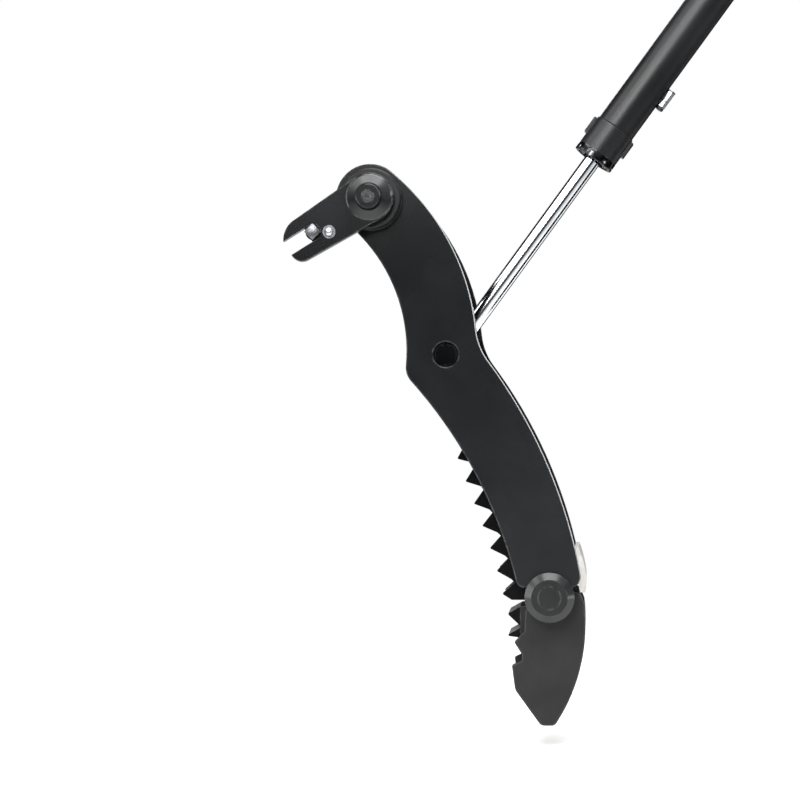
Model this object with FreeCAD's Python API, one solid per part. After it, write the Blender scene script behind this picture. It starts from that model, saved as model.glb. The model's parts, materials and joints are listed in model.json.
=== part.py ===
import FreeCAD, Part
import math
import os
from FreeCAD import Vector

os.makedirs("parts", exist_ok=True)

# A hydraulic thumb for a midi excavator of about eight tonnes.
# The frame's origin is the middle of the main pivot. +X is away from the bucket, +Z is up,
# and +Y runs along the pins, from the near side plate to the far one.
# Lengths are in millimetres and angles in degrees.

# Places of the pins, with the arm at rest against the bucket
ROD_PIN_X = 165.0
ROD_PIN_Z = -344.0
TIP_PIN_X = 393.0
TIP_PIN_Z = -878.0
CYLINDER_ANGLE = 53.8
PIN_TO_PIN = 1330.0

# Arm weldment
ARM_GAP = 200.0
PLATE_T = 25.0
PLATE_BEVEL = 2.0
HEAD_R = 76.0
HEAD_DX = -3.5
HEAD_DZ = 4.0
HEAD_BACK_ANGLE = 50.0
HEAD_FRONT_ANGLE = -127.0
BACK_UPPER_RISE = 47.0
BACK_LOWER_RISE = 38.0
FRONT_UPPER_RISE = 45.0
FRONT_LOWER_RISE = 35.0
WAIST_FILLET = 140.0
KNEE_FILLET = 45.0
FOOT_BACK_FILLET = 25.0
FOOT_FRONT_FILLET = 20.0
FOOT_R = 50.0
FOOT_EDGE_UP = 21.0
FOOT_BACK_DX = 73.0
FOOT_FRONT_DX = -70.0
WAIST_DX = 69.4
WAIST_DZ = 17.4
KNEE_DX = -90.5
KNEE_DZ = -44.0
WEB_T = 18.0
WEB_INSET = 16.0
WEB_TOP_SHARE = 0.06
WEB_FOOT_SHARE = 0.97
DIAPHRAGM_T = 16.0
DIAPHRAGM_UP = 72.0
STOP_T = 12.0

# Arm teeth, measured along the front edge and across it
TOOTH_COUNT = 7
TOOTH_PLATE_T = 25.0
TOOTH_PLATE_Y = 62.5
TOOTH_START = 220.0
TOOTH_PITCH = 54.4
TOOTH_DEPTH = 37.0
TOOTH_FIRST_DEPTH = 20.0
TOOTH_UPPER_UP = 19.5
TOOTH_UPPER_IN = 30.5
TOOTH_LOWER_DOWN = 26.0
TOOTH_LOWER_IN = 25.0
TOOTH_FLAT = 3.0
TOOTH_PLATE_TOP = 45.0
TOOTH_FOOT_DROP = 9.5

# Main pivot
PIVOT_PIN_R = 27.5
PIVOT_PIN_PROUD = 22.0
PIVOT_BUSH_R = 34.0
PIVOT_BOSS_R = 67.0
PIVOT_SPIGOT_R = 46.0
PIVOT_BOSS_PROUD = 30.0
PIN_RECESS_R = 14.0
PIN_RECESS_DEPTH = 3.0
END_PLATE_R = 45.0
END_PLATE_T = 12.0
RUNNING = 0.05
FACE_GAP = 0.5

# Flag plate that keeps the pivot pin from turning, measured along its slot and across it
FLAG_T = 18.0
FLAG_BEVEL = 1.5
FLAG_HEAD_R = 54.0
FLAG_COLLAR_R = 51.0
FLAG_COLLAR_H = 11.0
SLOT_ANGLE = 211.5
SLOT_W = 35.0
SLOT_END_R = 145.0
PRONG_LENGTH = 67.0
PRONG_W = 28.0
UPPER_NOSE = 46.0
LOWER_NOSE = 23.0
NOSE_RISE = 7.5
KEEPER_FIT = 0.2
KEEPER_LENGTH = 30.0
KEEPER_T = 13.0
SQUARE_HEAD = 26.0
SQUARE_HEAD_H = 13.0
SQUARE_SHANK_R = 8.0
DOME_BACK = 30.3
DOME_ASIDE = 18.8
DOME_R = 9.5
DOME_H = 7.0
DOME_SHANK_R = 6.0
DOME_WASHER_R = 15.0
DOME_WASHER_T = 3.0

# Cylinder rod pin
ROD_PIN_R = 25.0
ROD_SLEEVE_R = 28.0
ROD_BOSS_R = 45.0
ROD_PIN_SUNK = 6.0
SNAP_RING_T = 3.0
SNAP_RING_W = 5.0

# Hydraulic cylinder, measured along its axis from the rod pin
EYE_R = 42.0
EYE_W = 64.0
EYE_BUSH_R = 30.0
NECK_END = 56.0
ROD_R = 19.0
ROD_STUD_R = 14.0
GLAND_START = 549.0
GLAND_LENGTH = 84.0
GLAND_PROUD = 3.0
GLAND_SPIGOT = 30.0
GLAND_RIM = 8.0
GLAND_DISH_DEPTH = 7.0
SEAL_DEPTH = 5.0
LUG_COUNT = 2
LUG_LENGTH = 40.0
LUG_W = 24.0
LUG_PROUD = 6.0
SCREW_COUNT = 8
SCREW_HEAD_R = 5.0
SCREW_HEAD_H = 5.0
BARREL_BORE_R = 37.5
BARREL_WALL = 7.5
BARREL_END = 1265.0
CAP_T = 18.0
CAP_SPIGOT = 6.0
EXTEND_LEFT = 42.0
PISTON_LENGTH = 50.0
PISTON_NUT_LENGTH = 20.0
PISTON_NUT_FLATS = 46.0
SEAL_LENGTH = 10.0
HEAD_PORT_S = 753.0
BASE_PORT_S = 1225.0
PORT_BOSS_R = 13.0
PORT_GAP = 2.5
PORT_HOLE_R = 5.0
FITTING_FLATS = 17.0
FITTING_LENGTH = 44.0
FITTING_AHEAD = 3.0
FITTING_TURN = -18.0
FITTING_BORE_R = 4.0
PORT_CAP_R = 9.0
PORT_CAP_LENGTH = 8.0

# Hinged tip
TIP_PIN_R = 25.0
TIP_CAP_R = 54.5
TIP_CAP_FACE_R = 40.0
TIP_CAP_RIM = 8.0
TIP_CAP_H = 21.0
TIP_PIN_IN_CAP = 13.0
TIP_PLATE_T = 22.0
TIP_SIDE_GAP = 2.0
TIP_HUB_R = 42.0
TIP_BUSH_R = 33.0
TIP_BUSH_LENGTH = 60.0
TIP_BUSH_FLANGE = 1.5
TIP_HEAD_R = 48.0
TIP_WEB_T = 16.0
TIP_BACK_RISE = 25.0
TIP_RIB_T = 24.0
TIP_TOOTH_COUNT = 2
TIP_TOOTH_PITCH = 47.0

# Small fittings
NIPPLE_R = 5.0
NIPPLE_H = 12.0

# Sizes that follow from those above
SIDE_IN = ARM_GAP / 2.0
SIDE_OUT = SIDE_IN + PLATE_T
BOSS_FACE = SIDE_OUT + PIVOT_BOSS_PROUD
FLAG_BACK = BOSS_FACE + FACE_GAP
FLAG_FRONT = FLAG_BACK + FLAG_T
PIN_NEAR_END = FLAG_FRONT + PIVOT_PIN_PROUD
PIN_FAR_END = BOSS_FACE + FACE_GAP
GLAND_END = GLAND_START + GLAND_LENGTH
PISTON_START = GLAND_END + GLAND_SPIGOT + EXTEND_LEFT
PISTON_END = PISTON_START + PISTON_LENGTH
ROD_END = PISTON_END + PISTON_NUT_LENGTH + 2.0
TIP_PLATE_OUT = SIDE_IN - TIP_SIDE_GAP
TIP_PLATE_IN = TIP_PLATE_OUT - TIP_PLATE_T
BARREL_R = BARREL_BORE_R + BARREL_WALL
GLAND_R = BARREL_R + GLAND_PROUD
GLAND_DISH_R = GLAND_R - GLAND_RIM
GLAND_SEAT_R = ROD_R + SEAL_DEPTH
PORT_OUT = BARREL_R + PORT_GAP + FITTING_FLATS / 2.0


def save(name, shape):
    """Write one named piece, or a group of alike pieces, to its own file."""
    shape.exportStep("parts/" + name + ".step")


def at_pin(pin, dx, dz):
    """A place in the side view, given from the rod pin or the tip pin."""
    return pin[0] + dx, pin[1] + dz


def side_wire(points):
    """Closed outline in the side view from (x, z, rise) corners.

    The rise is how far the edge that leaves a corner bows out to the left of its way.
    """
    edges = []
    for i, (x0, z0, rise) in enumerate(points):
        x1, z1 = points[(i + 1) % len(points)][:2]
        a, b = Vector(x0, 0, z0), Vector(x1, 0, z1)
        if abs(rise) < 1e-6:
            edges.append(Part.makeLine(a, b))
            continue
        run = b - a
        left = Vector(-run.z, 0, run.x).normalize()
        edges.append(Part.Arc(a, (a + b) * 0.5 + left * rise, b).toShape())
    return Part.Wire(edges)


def side_solid(points, y0, y1):
    """The outline as a plate from y0 to y1."""
    plate = Part.Face(side_wire(points)).extrude(Vector(0, y1 - y0, 0))
    plate.translate(Vector(0, y0, 0))
    return plate


def round_y(x, z, radius, y0, y1):
    """Round bar along the pins."""
    low, high = min(y0, y1), max(y0, y1)
    return Part.makeCylinder(radius, high - low, Vector(x, low, z), Vector(0, 1, 0))


def tube_y(x, z, outer, inner, y0, y1):
    """Tube along the pins."""
    return round_y(x, z, outer, y0, y1).cut(round_y(x, z, inner, y0, y1))


def turned_y(x, z, profile):
    """Turned piece about a pin's line from (radius, y) corners."""
    points = [Vector(r, y, 0) for r, y in profile]
    face = Part.Face(Part.makePolygon(points + [points[0]]))
    piece = face.revolve(Vector(0, 0, 0), Vector(0, 1, 0), 360)
    piece.translate(Vector(x, 0, z))
    return piece


def turned_s(profile):
    """Turned piece about the cylinder's axis, here +X, from (s, radius) corners."""
    points = [Vector(s, 0, r) for s, r in profile]
    face = Part.Face(Part.makePolygon(points + [points[0]]))
    return face.revolve(Vector(0, 0, 0), Vector(1, 0, 0), 360)


def ring_s(s0, s1, outer, inner):
    """Plain ring about the cylinder's axis."""
    return turned_s([(s0, inner), (s1, inner), (s1, outer), (s0, outer)])


def hex_bar(flats, length):
    """Hexagonal bar along +X, with its first end at the origin."""
    corner = flats / math.sqrt(3.0)
    points = [Vector(0, corner * math.cos(math.radians(60 * k)),
                     corner * math.sin(math.radians(60 * k))) for k in range(6)]
    return Part.Face(Part.makePolygon(points + [points[0]])).extrude(Vector(length, 0, 0))


def on_cylinder(shape):
    """Turn and move a piece made along +X onto the hydraulic cylinder's axis."""
    placed = shape.copy()
    placed.rotate(Vector(0, 0, 0), Vector(0, 1, 0), -CYLINDER_ANGLE)
    placed.translate(Vector(ROD_PIN_X, 0, ROD_PIN_Z))
    return placed


def bevel_face(solid, y, size):
    """Bevel the outer corners of the flat face at y."""
    edges = []
    for edge in solid.Edges:
        box = edge.BoundBox
        if abs(box.YMin - y) < 1e-4 and abs(box.YMax - y) < 1e-4:
            edges.append(edge)
    return solid.makeChamfer(size, edges)


def rounded(solid, corners):
    """Round the upright corners of a plate, given as ((x, z), radius)."""
    for (x, z), radius in corners:
        edges = []
        for edge in solid.Edges:
            box = edge.BoundBox
            narrow = box.XLength < 1e-3 and box.ZLength < 1e-3
            if narrow and abs(box.XMin - x) < 1e-3 and abs(box.ZMin - z) < 1e-3:
                edges.append(edge)
        solid = solid.makeFillet(radius, edges)
    return solid


def mirrored(shape):
    """The same piece on the far side."""
    return shape.mirror(Vector(0, 0, 0), Vector(0, 1, 0))


ROD_PIN = (ROD_PIN_X, ROD_PIN_Z)
TIP_PIN = (TIP_PIN_X, TIP_PIN_Z)


def on_head(angle):
    """A corner on the round head of the arm."""
    turn = math.radians(angle)
    return HEAD_DX + HEAD_R * math.cos(turn), HEAD_DZ + HEAD_R * math.sin(turn)


# The side plate's corners, named for their places on the arm
BACK_TOP = on_head(HEAD_BACK_ANGLE)
BACK_WAIST = at_pin(ROD_PIN, WAIST_DX, WAIST_DZ)
FOOT_BACK = at_pin(TIP_PIN, FOOT_BACK_DX, FOOT_EDGE_UP)
FOOT_FRONT = at_pin(TIP_PIN, FOOT_FRONT_DX, FOOT_EDGE_UP)
FRONT_KNEE = at_pin(ROD_PIN, KNEE_DX, KNEE_DZ)
FRONT_TOP = on_head(HEAD_FRONT_ANGLE)


def blade(y0, y1):
    """The arm's blade between the head and the foot, with its four long curves."""
    solid = side_solid([
        (*BACK_TOP, BACK_UPPER_RISE),
        (*BACK_WAIST, BACK_LOWER_RISE),
        (*FOOT_BACK, 0),
        (*FOOT_FRONT, -FRONT_LOWER_RISE),
        (*FRONT_KNEE, -FRONT_UPPER_RISE),
        (*FRONT_TOP, 0),
    ], y0, y1)
    return rounded(solid, [(BACK_WAIST, WAIST_FILLET), (FOOT_BACK, FOOT_BACK_FILLET),
                           (FOOT_FRONT, FOOT_FRONT_FILLET), (FRONT_KNEE, KNEE_FILLET)])


def side_plate():
    """Near side plate, bored for the pivot boss, the rod pin's sleeve and the tip pin."""
    ends = (-SIDE_OUT, -SIDE_IN)
    drilled = blade(*ends).cut(round_y(*ROD_PIN, ROD_SLEEVE_R, *ends))
    head = round_y(HEAD_DX, HEAD_DZ, HEAD_R, *ends)
    pieces = [drilled, head, round_y(*TIP_PIN, FOOT_R, *ends)]
    pieces = [bevel_face(piece, -SIDE_OUT, PLATE_BEVEL) for piece in pieces]
    plate = pieces[0].fuse(pieces[1:]).removeSplitter()
    plate = plate.cut(round_y(0, 0, PIVOT_SPIGOT_R, *ends))
    return plate.cut(round_y(*TIP_PIN, TIP_PIN_R, *ends))


def arc_centre(a, b, rise):
    """Centre and radius of the curve from a to b that bows out by rise."""
    ax, az = a
    bx, bz = b
    chord = math.hypot(bx - ax, bz - az)
    radius = (chord * chord / 4.0 + rise * rise) / (2.0 * rise)
    left_x, left_z = -(bz - az) / chord, (bx - ax) / chord
    back = radius - rise
    return (ax + bx) / 2.0 - left_x * back, (az + bz) / 2.0 - left_z * back, radius


# The front curve of the arm, which the web and the tooth plates follow
FRONT_CX, FRONT_CZ, FRONT_R = arc_centre(FRONT_KNEE, FOOT_FRONT, FRONT_LOWER_RISE)
FRONT_A0 = math.atan2(FRONT_KNEE[1] - FRONT_CZ, FRONT_KNEE[0] - FRONT_CX)
FRONT_A1 = math.atan2(FOOT_FRONT[1] - FRONT_CZ, FOOT_FRONT[0] - FRONT_CX)
FRONT_LENGTH = FRONT_R * (FRONT_A0 - FRONT_A1)


def on_front(inset, share):
    """A place that lies inset behind the front curve, at a share of its length from the knee."""
    angle = FRONT_A0 + (FRONT_A1 - FRONT_A0) * share
    radius = FRONT_R + inset
    return FRONT_CX + radius * math.cos(angle), FRONT_CZ + radius * math.sin(angle)


def front_arc(inset, share0, share1):
    """Edge along the front curve at an inset."""
    places = [on_front(inset, s) for s in (share0, (share0 + share1) / 2.0, share1)]
    return Part.Arc(*[Vector(x, 0, z) for x, z in places]).toShape()


def front_band(inset0, inset1, share0, share1, half_width):
    """Curved plate that follows the front curve."""
    ends0 = [Vector(x, 0, z) for x, z in (on_front(inset0, share0), on_front(inset1, share0))]
    ends1 = [Vector(x, 0, z) for x, z in (on_front(inset0, share1), on_front(inset1, share1))]
    wire = Part.Wire([front_arc(inset0, share0, share1), Part.makeLine(ends1[0], ends1[1]),
                      front_arc(inset1, share1, share0), Part.makeLine(ends0[1], ends0[0])])
    band = Part.Face(wire).extrude(Vector(0, 2 * half_width, 0))
    band.translate(Vector(0, -half_width, 0))
    return band


def front_web():
    """Curved plate that joins the side plates behind the teeth."""
    return front_band(WEB_INSET, WEB_INSET + WEB_T, WEB_TOP_SHARE, WEB_FOOT_SHARE, SIDE_IN)


def by_front(inset, down):
    """A place by the front edge: its inset behind the edge, and its way down from the knee."""
    return (*on_front(inset, down / FRONT_LENGTH), 0)


def tooth_plate():
    """Near tooth plate. Its first tooth stands least proud of the side plate's front edge."""
    points = []
    for k in range(TOOTH_COUNT):
        down = TOOTH_START + TOOTH_PITCH * k
        fade = (1.0 - k / (TOOTH_COUNT - 1.0)) ** 4
        depth = TOOTH_DEPTH - (TOOTH_DEPTH - TOOTH_FIRST_DEPTH) * fade
        points.append(by_front(TOOTH_UPPER_IN - depth, down - TOOTH_UPPER_UP))
        points.append(by_front(-depth, down - TOOTH_FLAT / 2.0))
        points.append(by_front(-depth, down + TOOTH_FLAT / 2.0))
        points.append(by_front(TOOTH_LOWER_IN - depth, down + TOOTH_LOWER_DOWN))
    behind = WEB_INSET + 2 * WEB_T
    points.append(by_front(behind, down + TOOTH_LOWER_DOWN))
    points.append(by_front(behind, TOOTH_START - TOOTH_PLATE_TOP))
    ends = (-TOOTH_PLATE_Y - TOOTH_PLATE_T / 2.0, -TOOTH_PLATE_Y + TOOTH_PLATE_T / 2.0)
    web_lane = front_band(WEB_INSET, WEB_INSET + 4 * WEB_T, 0.0, 1.15, SIDE_IN)
    foot = Part.makeBox(TIP_PIN_X, ARM_GAP, TOOTH_PITCH,
                        Vector(0, -SIDE_IN, TIP_PIN_Z - TOOTH_FOOT_DROP - TOOTH_PITCH))
    return side_solid(points, *ends).cut([web_lane, foot]).removeSplitter()


def lower_diaphragm():
    """Flat cross plate above the tip joint, from the web to the back edge."""
    slab = Part.makeBox(2 * TIP_PIN_X, ARM_GAP, DIAPHRAGM_T,
                        Vector(0, -SIDE_IN, TIP_PIN_Z + DIAPHRAGM_UP))
    inside = blade(-SIDE_IN, SIDE_IN)
    web = front_band(-WEB_INSET, WEB_INSET + WEB_T, 0.0, 1.1, SIDE_IN)
    return slab.common(inside).cut(web)


def tip_stop_plate():
    """Bent plate across the lower back edge, which the tip's shoulders come up against."""
    top = at_pin(TIP_PIN, 50.0, 110.0)
    low_in = at_pin(TIP_PIN, 67.0, 12.0)
    low_out = at_pin(TIP_PIN, 67.0 + STOP_T - 1.5, 12.0)
    bulge = at_pin(TIP_PIN, 69.0 + STOP_T, 40.0)
    top_out = at_pin(TIP_PIN, 64.0, 110.0)
    plate = side_solid([
        (*top, 0), (*top_out, 2.5), (*bulge, 1.0), (*low_out, 0), (*low_in, 0),
        (*at_pin(TIP_PIN, 55.0, 60.0), 0),
    ], -SIDE_OUT, SIDE_OUT)
    return plate.cut(blade(-SIDE_OUT, SIDE_OUT))


def pivot_boss():
    """Near pivot boss: a round flange on the plate with a spigot through it."""
    return turned_y(0, 0, [
        (PIVOT_BUSH_R, -BOSS_FACE), (PIVOT_BOSS_R - 3, -BOSS_FACE),
        (PIVOT_BOSS_R, -BOSS_FACE + 3), (PIVOT_BOSS_R, -SIDE_OUT),
        (PIVOT_SPIGOT_R, -SIDE_OUT), (PIVOT_SPIGOT_R, -SIDE_IN), (PIVOT_BUSH_R, -SIDE_IN)])


def pivot_bush():
    """Near bush pressed into the pivot boss."""
    return tube_y(0, 0, PIVOT_BUSH_R, PIVOT_PIN_R + RUNNING, -BOSS_FACE + 1, -SIDE_IN + 1)


def pivot_pin():
    """Main pivot pin with a shallow recess in its near end and a tapped far end."""
    pin = turned_y(0, 0, [
        (0, -PIN_NEAR_END + PIN_RECESS_DEPTH), (PIN_RECESS_R, -PIN_NEAR_END + PIN_RECESS_DEPTH),
        (PIN_RECESS_R, -PIN_NEAR_END), (PIVOT_PIN_R - 2, -PIN_NEAR_END),
        (PIVOT_PIN_R, -PIN_NEAR_END + 2), (PIVOT_PIN_R, PIN_FAR_END), (0, PIN_FAR_END)])
    pin = pin.cut(round_y(0, 0, SQUARE_SHANK_R, PIN_FAR_END - 40, PIN_FAR_END))
    bottom = -PIN_NEAR_END + PIN_RECESS_DEPTH
    return pin.cut(round_y(0, 0, NIPPLE_R, bottom, bottom + NIPPLE_H))


def pin_grease_nipple():
    """Grease nipple sunk in the near end of the pivot pin."""
    bottom = -PIN_NEAR_END + PIN_RECESS_DEPTH
    return turned_y(0, 0, [
        (0, bottom - 2), (1.5, bottom - 2), (3.0, bottom), (NIPPLE_R, bottom),
        (NIPPLE_R, bottom + NIPPLE_H), (0, bottom + NIPPLE_H)])


def on_slot(along, across):
    """A place on the flag plate: its way from the pivot along the slot, and across it."""
    dx, dz = math.cos(math.radians(SLOT_ANGLE)), math.sin(math.radians(SLOT_ANGLE))
    return along * dx - across * dz, along * dz + across * dx


def slot_solid(width, end_r, reach, y0, y1):
    """Round-ended slot of that width along the flag, from end_r out to reach."""
    half = width / 2.0
    body = side_solid([(*on_slot(end_r, -half), 0), (*on_slot(reach, -half), 0),
                       (*on_slot(reach, half), 0), (*on_slot(end_r, half), 0)], y0, y1)
    return body.fuse(round_y(*on_slot(end_r, 0), half, y0, y1)).removeSplitter()


def flag_plate():
    """Slotted flag plate with a round head and two prongs with curved noses."""
    ends = (-FLAG_FRONT, -FLAG_BACK)
    slot_edge, outer_edge = SLOT_W / 2.0, SLOT_W / 2.0 + PRONG_W
    mouth = SLOT_END_R + PRONG_LENGTH
    arm = side_solid([
        (*on_slot(0, -FLAG_HEAD_R), 0), (*on_slot(mouth - UPPER_NOSE, -outer_edge), -NOSE_RISE),
        (*on_slot(mouth, -slot_edge), 0), (*on_slot(mouth, slot_edge), -NOSE_RISE),
        (*on_slot(mouth - LOWER_NOSE, outer_edge), 0), (*on_slot(0, FLAG_HEAD_R), 0),
    ], *ends)
    head = round_y(0, 0, FLAG_HEAD_R, *ends)
    pieces = [bevel_face(piece, -FLAG_FRONT, FLAG_BEVEL) for piece in (arm, head)]
    plate = pieces[0].fuse(pieces[1]).removeSplitter()
    plate = plate.cut(slot_solid(SLOT_W, SLOT_END_R, mouth + SLOT_W, *ends))
    plate = plate.cut(round_y(0, 0, PIVOT_PIN_R, *ends))
    return plate.cut(round_y(*DOME_AT, DOME_SHANK_R, *ends))


def flag_weld_collar():
    """Coned collar between the pin and the flag plate."""
    return turned_y(0, 0, [
        (PIVOT_PIN_R, -FLAG_FRONT), (FLAG_COLLAR_R, -FLAG_FRONT),
        (FLAG_COLLAR_R - 3, -FLAG_FRONT - 3), (PIVOT_PIN_R + 3, -FLAG_FRONT - FLAG_COLLAR_H),
        (PIVOT_PIN_R, -FLAG_FRONT - FLAG_COLLAR_H)])


def slot_keeper_block():
    """Block seated in the closed end of the slot, drilled for the square-headed bolt."""
    y0 = -FLAG_BACK - KEEPER_T
    reach = SLOT_END_R - SLOT_W / 2.0 + KEEPER_LENGTH
    block = slot_solid(SLOT_W - 2 * KEEPER_FIT, SLOT_END_R, reach, y0, -FLAG_BACK)
    return block.cut(round_y(*on_slot(SLOT_END_R, 0), SQUARE_SHANK_R, y0, -FLAG_BACK))


def slot_square_bolt():
    """Square-headed bolt in the keeper block, with its head proud of the flag plate."""
    x, z = on_slot(SLOT_END_R, 0)
    seat = -FLAG_BACK - KEEPER_T
    face = -FLAG_FRONT - SQUARE_HEAD_H
    half = SQUARE_HEAD / 2.0
    head = Part.makeBox(SQUARE_HEAD, seat - face, SQUARE_HEAD, Vector(-half, face, -half))
    head = bevel_face(head, face, 1.2)
    head.rotate(Vector(0, 0, 0), Vector(0, 1, 0), -45)
    head.translate(Vector(x, 0, z))
    return head.fuse(round_y(x, z, SQUARE_SHANK_R, seat, -FLAG_BACK)).removeSplitter()


DOME_AT = on_slot(SLOT_END_R - DOME_BACK, DOME_ASIDE)


def flag_bolt_washer():
    """Flat washer under the domed bolt."""
    return tube_y(*DOME_AT, DOME_WASHER_R, DOME_SHANK_R, -FLAG_FRONT - DOME_WASHER_T, -FLAG_FRONT)


def flag_dome_bolt():
    """Domed bolt through the flag plate."""
    seat = -FLAG_FRONT - DOME_WASHER_T
    return turned_y(*DOME_AT, [
        (0, seat - DOME_H), (0.37 * DOME_R, seat - 0.92 * DOME_H),
        (0.74 * DOME_R, seat - 0.63 * DOME_H), (DOME_R, seat), (DOME_SHANK_R, seat),
        (DOME_SHANK_R, -FLAG_BACK), (0, -FLAG_BACK)])


def pin_end_plate():
    """Round plate that keeps the far end of the pivot pin."""
    y0, y1 = PIN_FAR_END, PIN_FAR_END + END_PLATE_T
    plate = bevel_face(round_y(0, 0, END_PLATE_R, y0, y1), y1, 2.0)
    return plate.cut(round_y(0, 0, SQUARE_SHANK_R, y0, y1))


def pin_end_bolt():
    """Hexagon bolt with its washer in the far end of the pivot pin."""
    head = hex_bar(24.0, 10.0)
    head.rotate(Vector(0, 0, 0), Vector(0, 0, 1), 90)
    head.translate(Vector(0, PIN_FAR_END + END_PLATE_T + 3, 0))
    washer = round_y(0, 0, 16, PIN_FAR_END + END_PLATE_T, PIN_FAR_END + END_PLATE_T + 3)
    shank = round_y(0, 0, SQUARE_SHANK_R, PIN_FAR_END - 40, PIN_FAR_END + END_PLATE_T)
    return head.fuse([washer, shank]).removeSplitter()


def rod_pin_boss():
    """Near inner boss that carries the rod pin beside the rod eye."""
    return tube_y(*ROD_PIN, ROD_BOSS_R, ROD_SLEEVE_R, -SIDE_IN, -EYE_W / 2.0 - FACE_GAP)


def rod_pin_sleeves():
    """The two sleeves round the rod pin, each through a side plate and its boss."""
    near = tube_y(*ROD_PIN, ROD_SLEEVE_R, ROD_PIN_R, -SIDE_OUT + ROD_PIN_SUNK + SNAP_RING_T,
                  -EYE_W / 2.0 - FACE_GAP)
    return Part.makeCompound([near, mirrored(near)])


def rod_pin():
    """Pin that holds the cylinder's rod eye."""
    end = SIDE_OUT - ROD_PIN_SUNK - SNAP_RING_T
    return turned_y(*ROD_PIN, [
        (0, -end), (ROD_PIN_R - 2, -end), (ROD_PIN_R, -end + 2),
        (ROD_PIN_R, end - 2), (ROD_PIN_R - 2, end), (0, end)])


def rod_pin_snap_rings():
    """Snap rings in the side plates' holes, over the ends of the rod pin."""
    y0 = -SIDE_OUT + ROD_PIN_SUNK
    near = tube_y(*ROD_PIN, ROD_SLEEVE_R, ROD_SLEEVE_R - SNAP_RING_W, y0, y0 + SNAP_RING_T)
    gap = Part.makeBox(8, SNAP_RING_T, ROD_SLEEVE_R, Vector(ROD_PIN_X - 4, y0, ROD_PIN_Z))
    near = near.cut(gap)
    return Part.makeCompound([near, mirrored(near)])


def tip_pin():
    """Pin through the foot of the arm that the tip swings on."""
    end = SIDE_OUT + TIP_PIN_IN_CAP
    return round_y(*TIP_PIN, TIP_PIN_R, -end, end)


def tip_pin_cap():
    """Near cap on the tip pin: a rim, a broad cone and a flat face with a fine groove."""
    face = -SIDE_OUT - TIP_CAP_H
    socket = -SIDE_OUT - TIP_PIN_IN_CAP
    return turned_y(*TIP_PIN, [
        (0, face), (24, face), (24, face + 1), (26, face + 1), (26, face),
        (TIP_CAP_FACE_R, face), (TIP_CAP_R, -SIDE_OUT - TIP_CAP_RIM), (TIP_CAP_R, -SIDE_OUT),
        (TIP_PIN_R, -SIDE_OUT), (TIP_PIN_R, socket), (0, socket)])


# Corners of the tip plate, from the tip pin: (across, up, rise of the edge that follows, fillet)
TIP_CORNERS = (
    (44.0, 19.0, 0, 0), (66.0, 9.0, 0, 8.0), (75.5, -16.0, TIP_BACK_RISE, 15.0),
    (10.0, -284.0, 0, 14.0), (-20.0, -284.0, 0, 16.0), (-77.0, -206.0, 0, 30.0),
    (-84.0, -152.0, 0, 3.0), (-62.0, -142.0, 0, 5.0), (-61.0, -129.0, 0, 5.0),
    (-78.5, -101.0, 0, 3.0), (-56.0, -77.0, 0, 6.0), (-54.0, -34.0, 0, 0), (-46.0, -12.0, 0, 0),
)


def tip_plate():
    """Near plate of the tip, with its jagged front edge and bowed back."""
    ends = (-TIP_PLATE_OUT, -TIP_PLATE_IN)
    places = [(*at_pin(TIP_PIN, dx, dz), rise) for dx, dz, rise, _ in TIP_CORNERS]
    body = side_solid(places, *ends)
    body = rounded(body, [(at_pin(TIP_PIN, dx, dz), r) for dx, dz, _, r in TIP_CORNERS if r])
    body = bevel_face(body, ends[0], PLATE_BEVEL)
    head = bevel_face(round_y(*TIP_PIN, TIP_HEAD_R, *ends), ends[0], PLATE_BEVEL)
    plate = body.fuse(head).removeSplitter()
    return plate.cut(round_y(*TIP_PIN, TIP_HUB_R, *ends))


def tip_hub():
    """Tube between the tip plates that holds the bushes."""
    return tube_y(*TIP_PIN, TIP_HUB_R, TIP_BUSH_R, -TIP_PLATE_OUT, TIP_PLATE_OUT)


def tip_bush():
    """Near flanged bush in the tip's hub."""
    inner = TIP_PIN_R + RUNNING
    end = -TIP_PLATE_OUT - TIP_BUSH_FLANGE
    return turned_y(*TIP_PIN, [
        (inner, end), (TIP_HUB_R - 3, end), (TIP_HUB_R - 3, -TIP_PLATE_OUT),
        (TIP_BUSH_R, -TIP_PLATE_OUT), (TIP_BUSH_R, -TIP_PLATE_OUT + TIP_BUSH_LENGTH),
        (inner, -TIP_PLATE_OUT + TIP_BUSH_LENGTH)])


# The face web's front line, from the tip pin: its top, middle and foot
FACE_TOP = (-66.0, -24.0)
FACE_MID = (-66.0, -92.0)
FACE_NOTCH = (-52.0, -138.0)
FACE_FOOT = (-60.0, -212.0)


def tip_face_web():
    """Bent plate between the tip plates, behind the tooth bars."""
    front = [FACE_TOP, FACE_MID, FACE_NOTCH, FACE_FOOT]
    back = [(dx + TIP_WEB_T, dz + 2.0) for dx, dz in reversed(front)]
    points = [(*at_pin(TIP_PIN, dx, dz), 0) for dx, dz in front + back]
    return side_solid(points, -TIP_PLATE_IN, TIP_PLATE_IN)


def tip_tooth_bars():
    """Cross bars of triangular section on the face web."""
    bars = []
    for k in range(TIP_TOOTH_COUNT):
        drop = TIP_TOOTH_PITCH * k
        corners = [(FACE_TOP[0], FACE_TOP[1] - drop), (FACE_TOP[0] - 26.0, -38.5 - drop),
                   (FACE_TOP[0] - 26.0, -42.5 - drop), (FACE_TOP[0], -67.0 - drop * 0.55)]
        points = [(*at_pin(TIP_PIN, dx, dz), 0) for dx, dz in corners]
        bars.append(side_solid(points, -TIP_PLATE_IN, TIP_PLATE_IN))
    return Part.makeCompound(bars)


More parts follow.
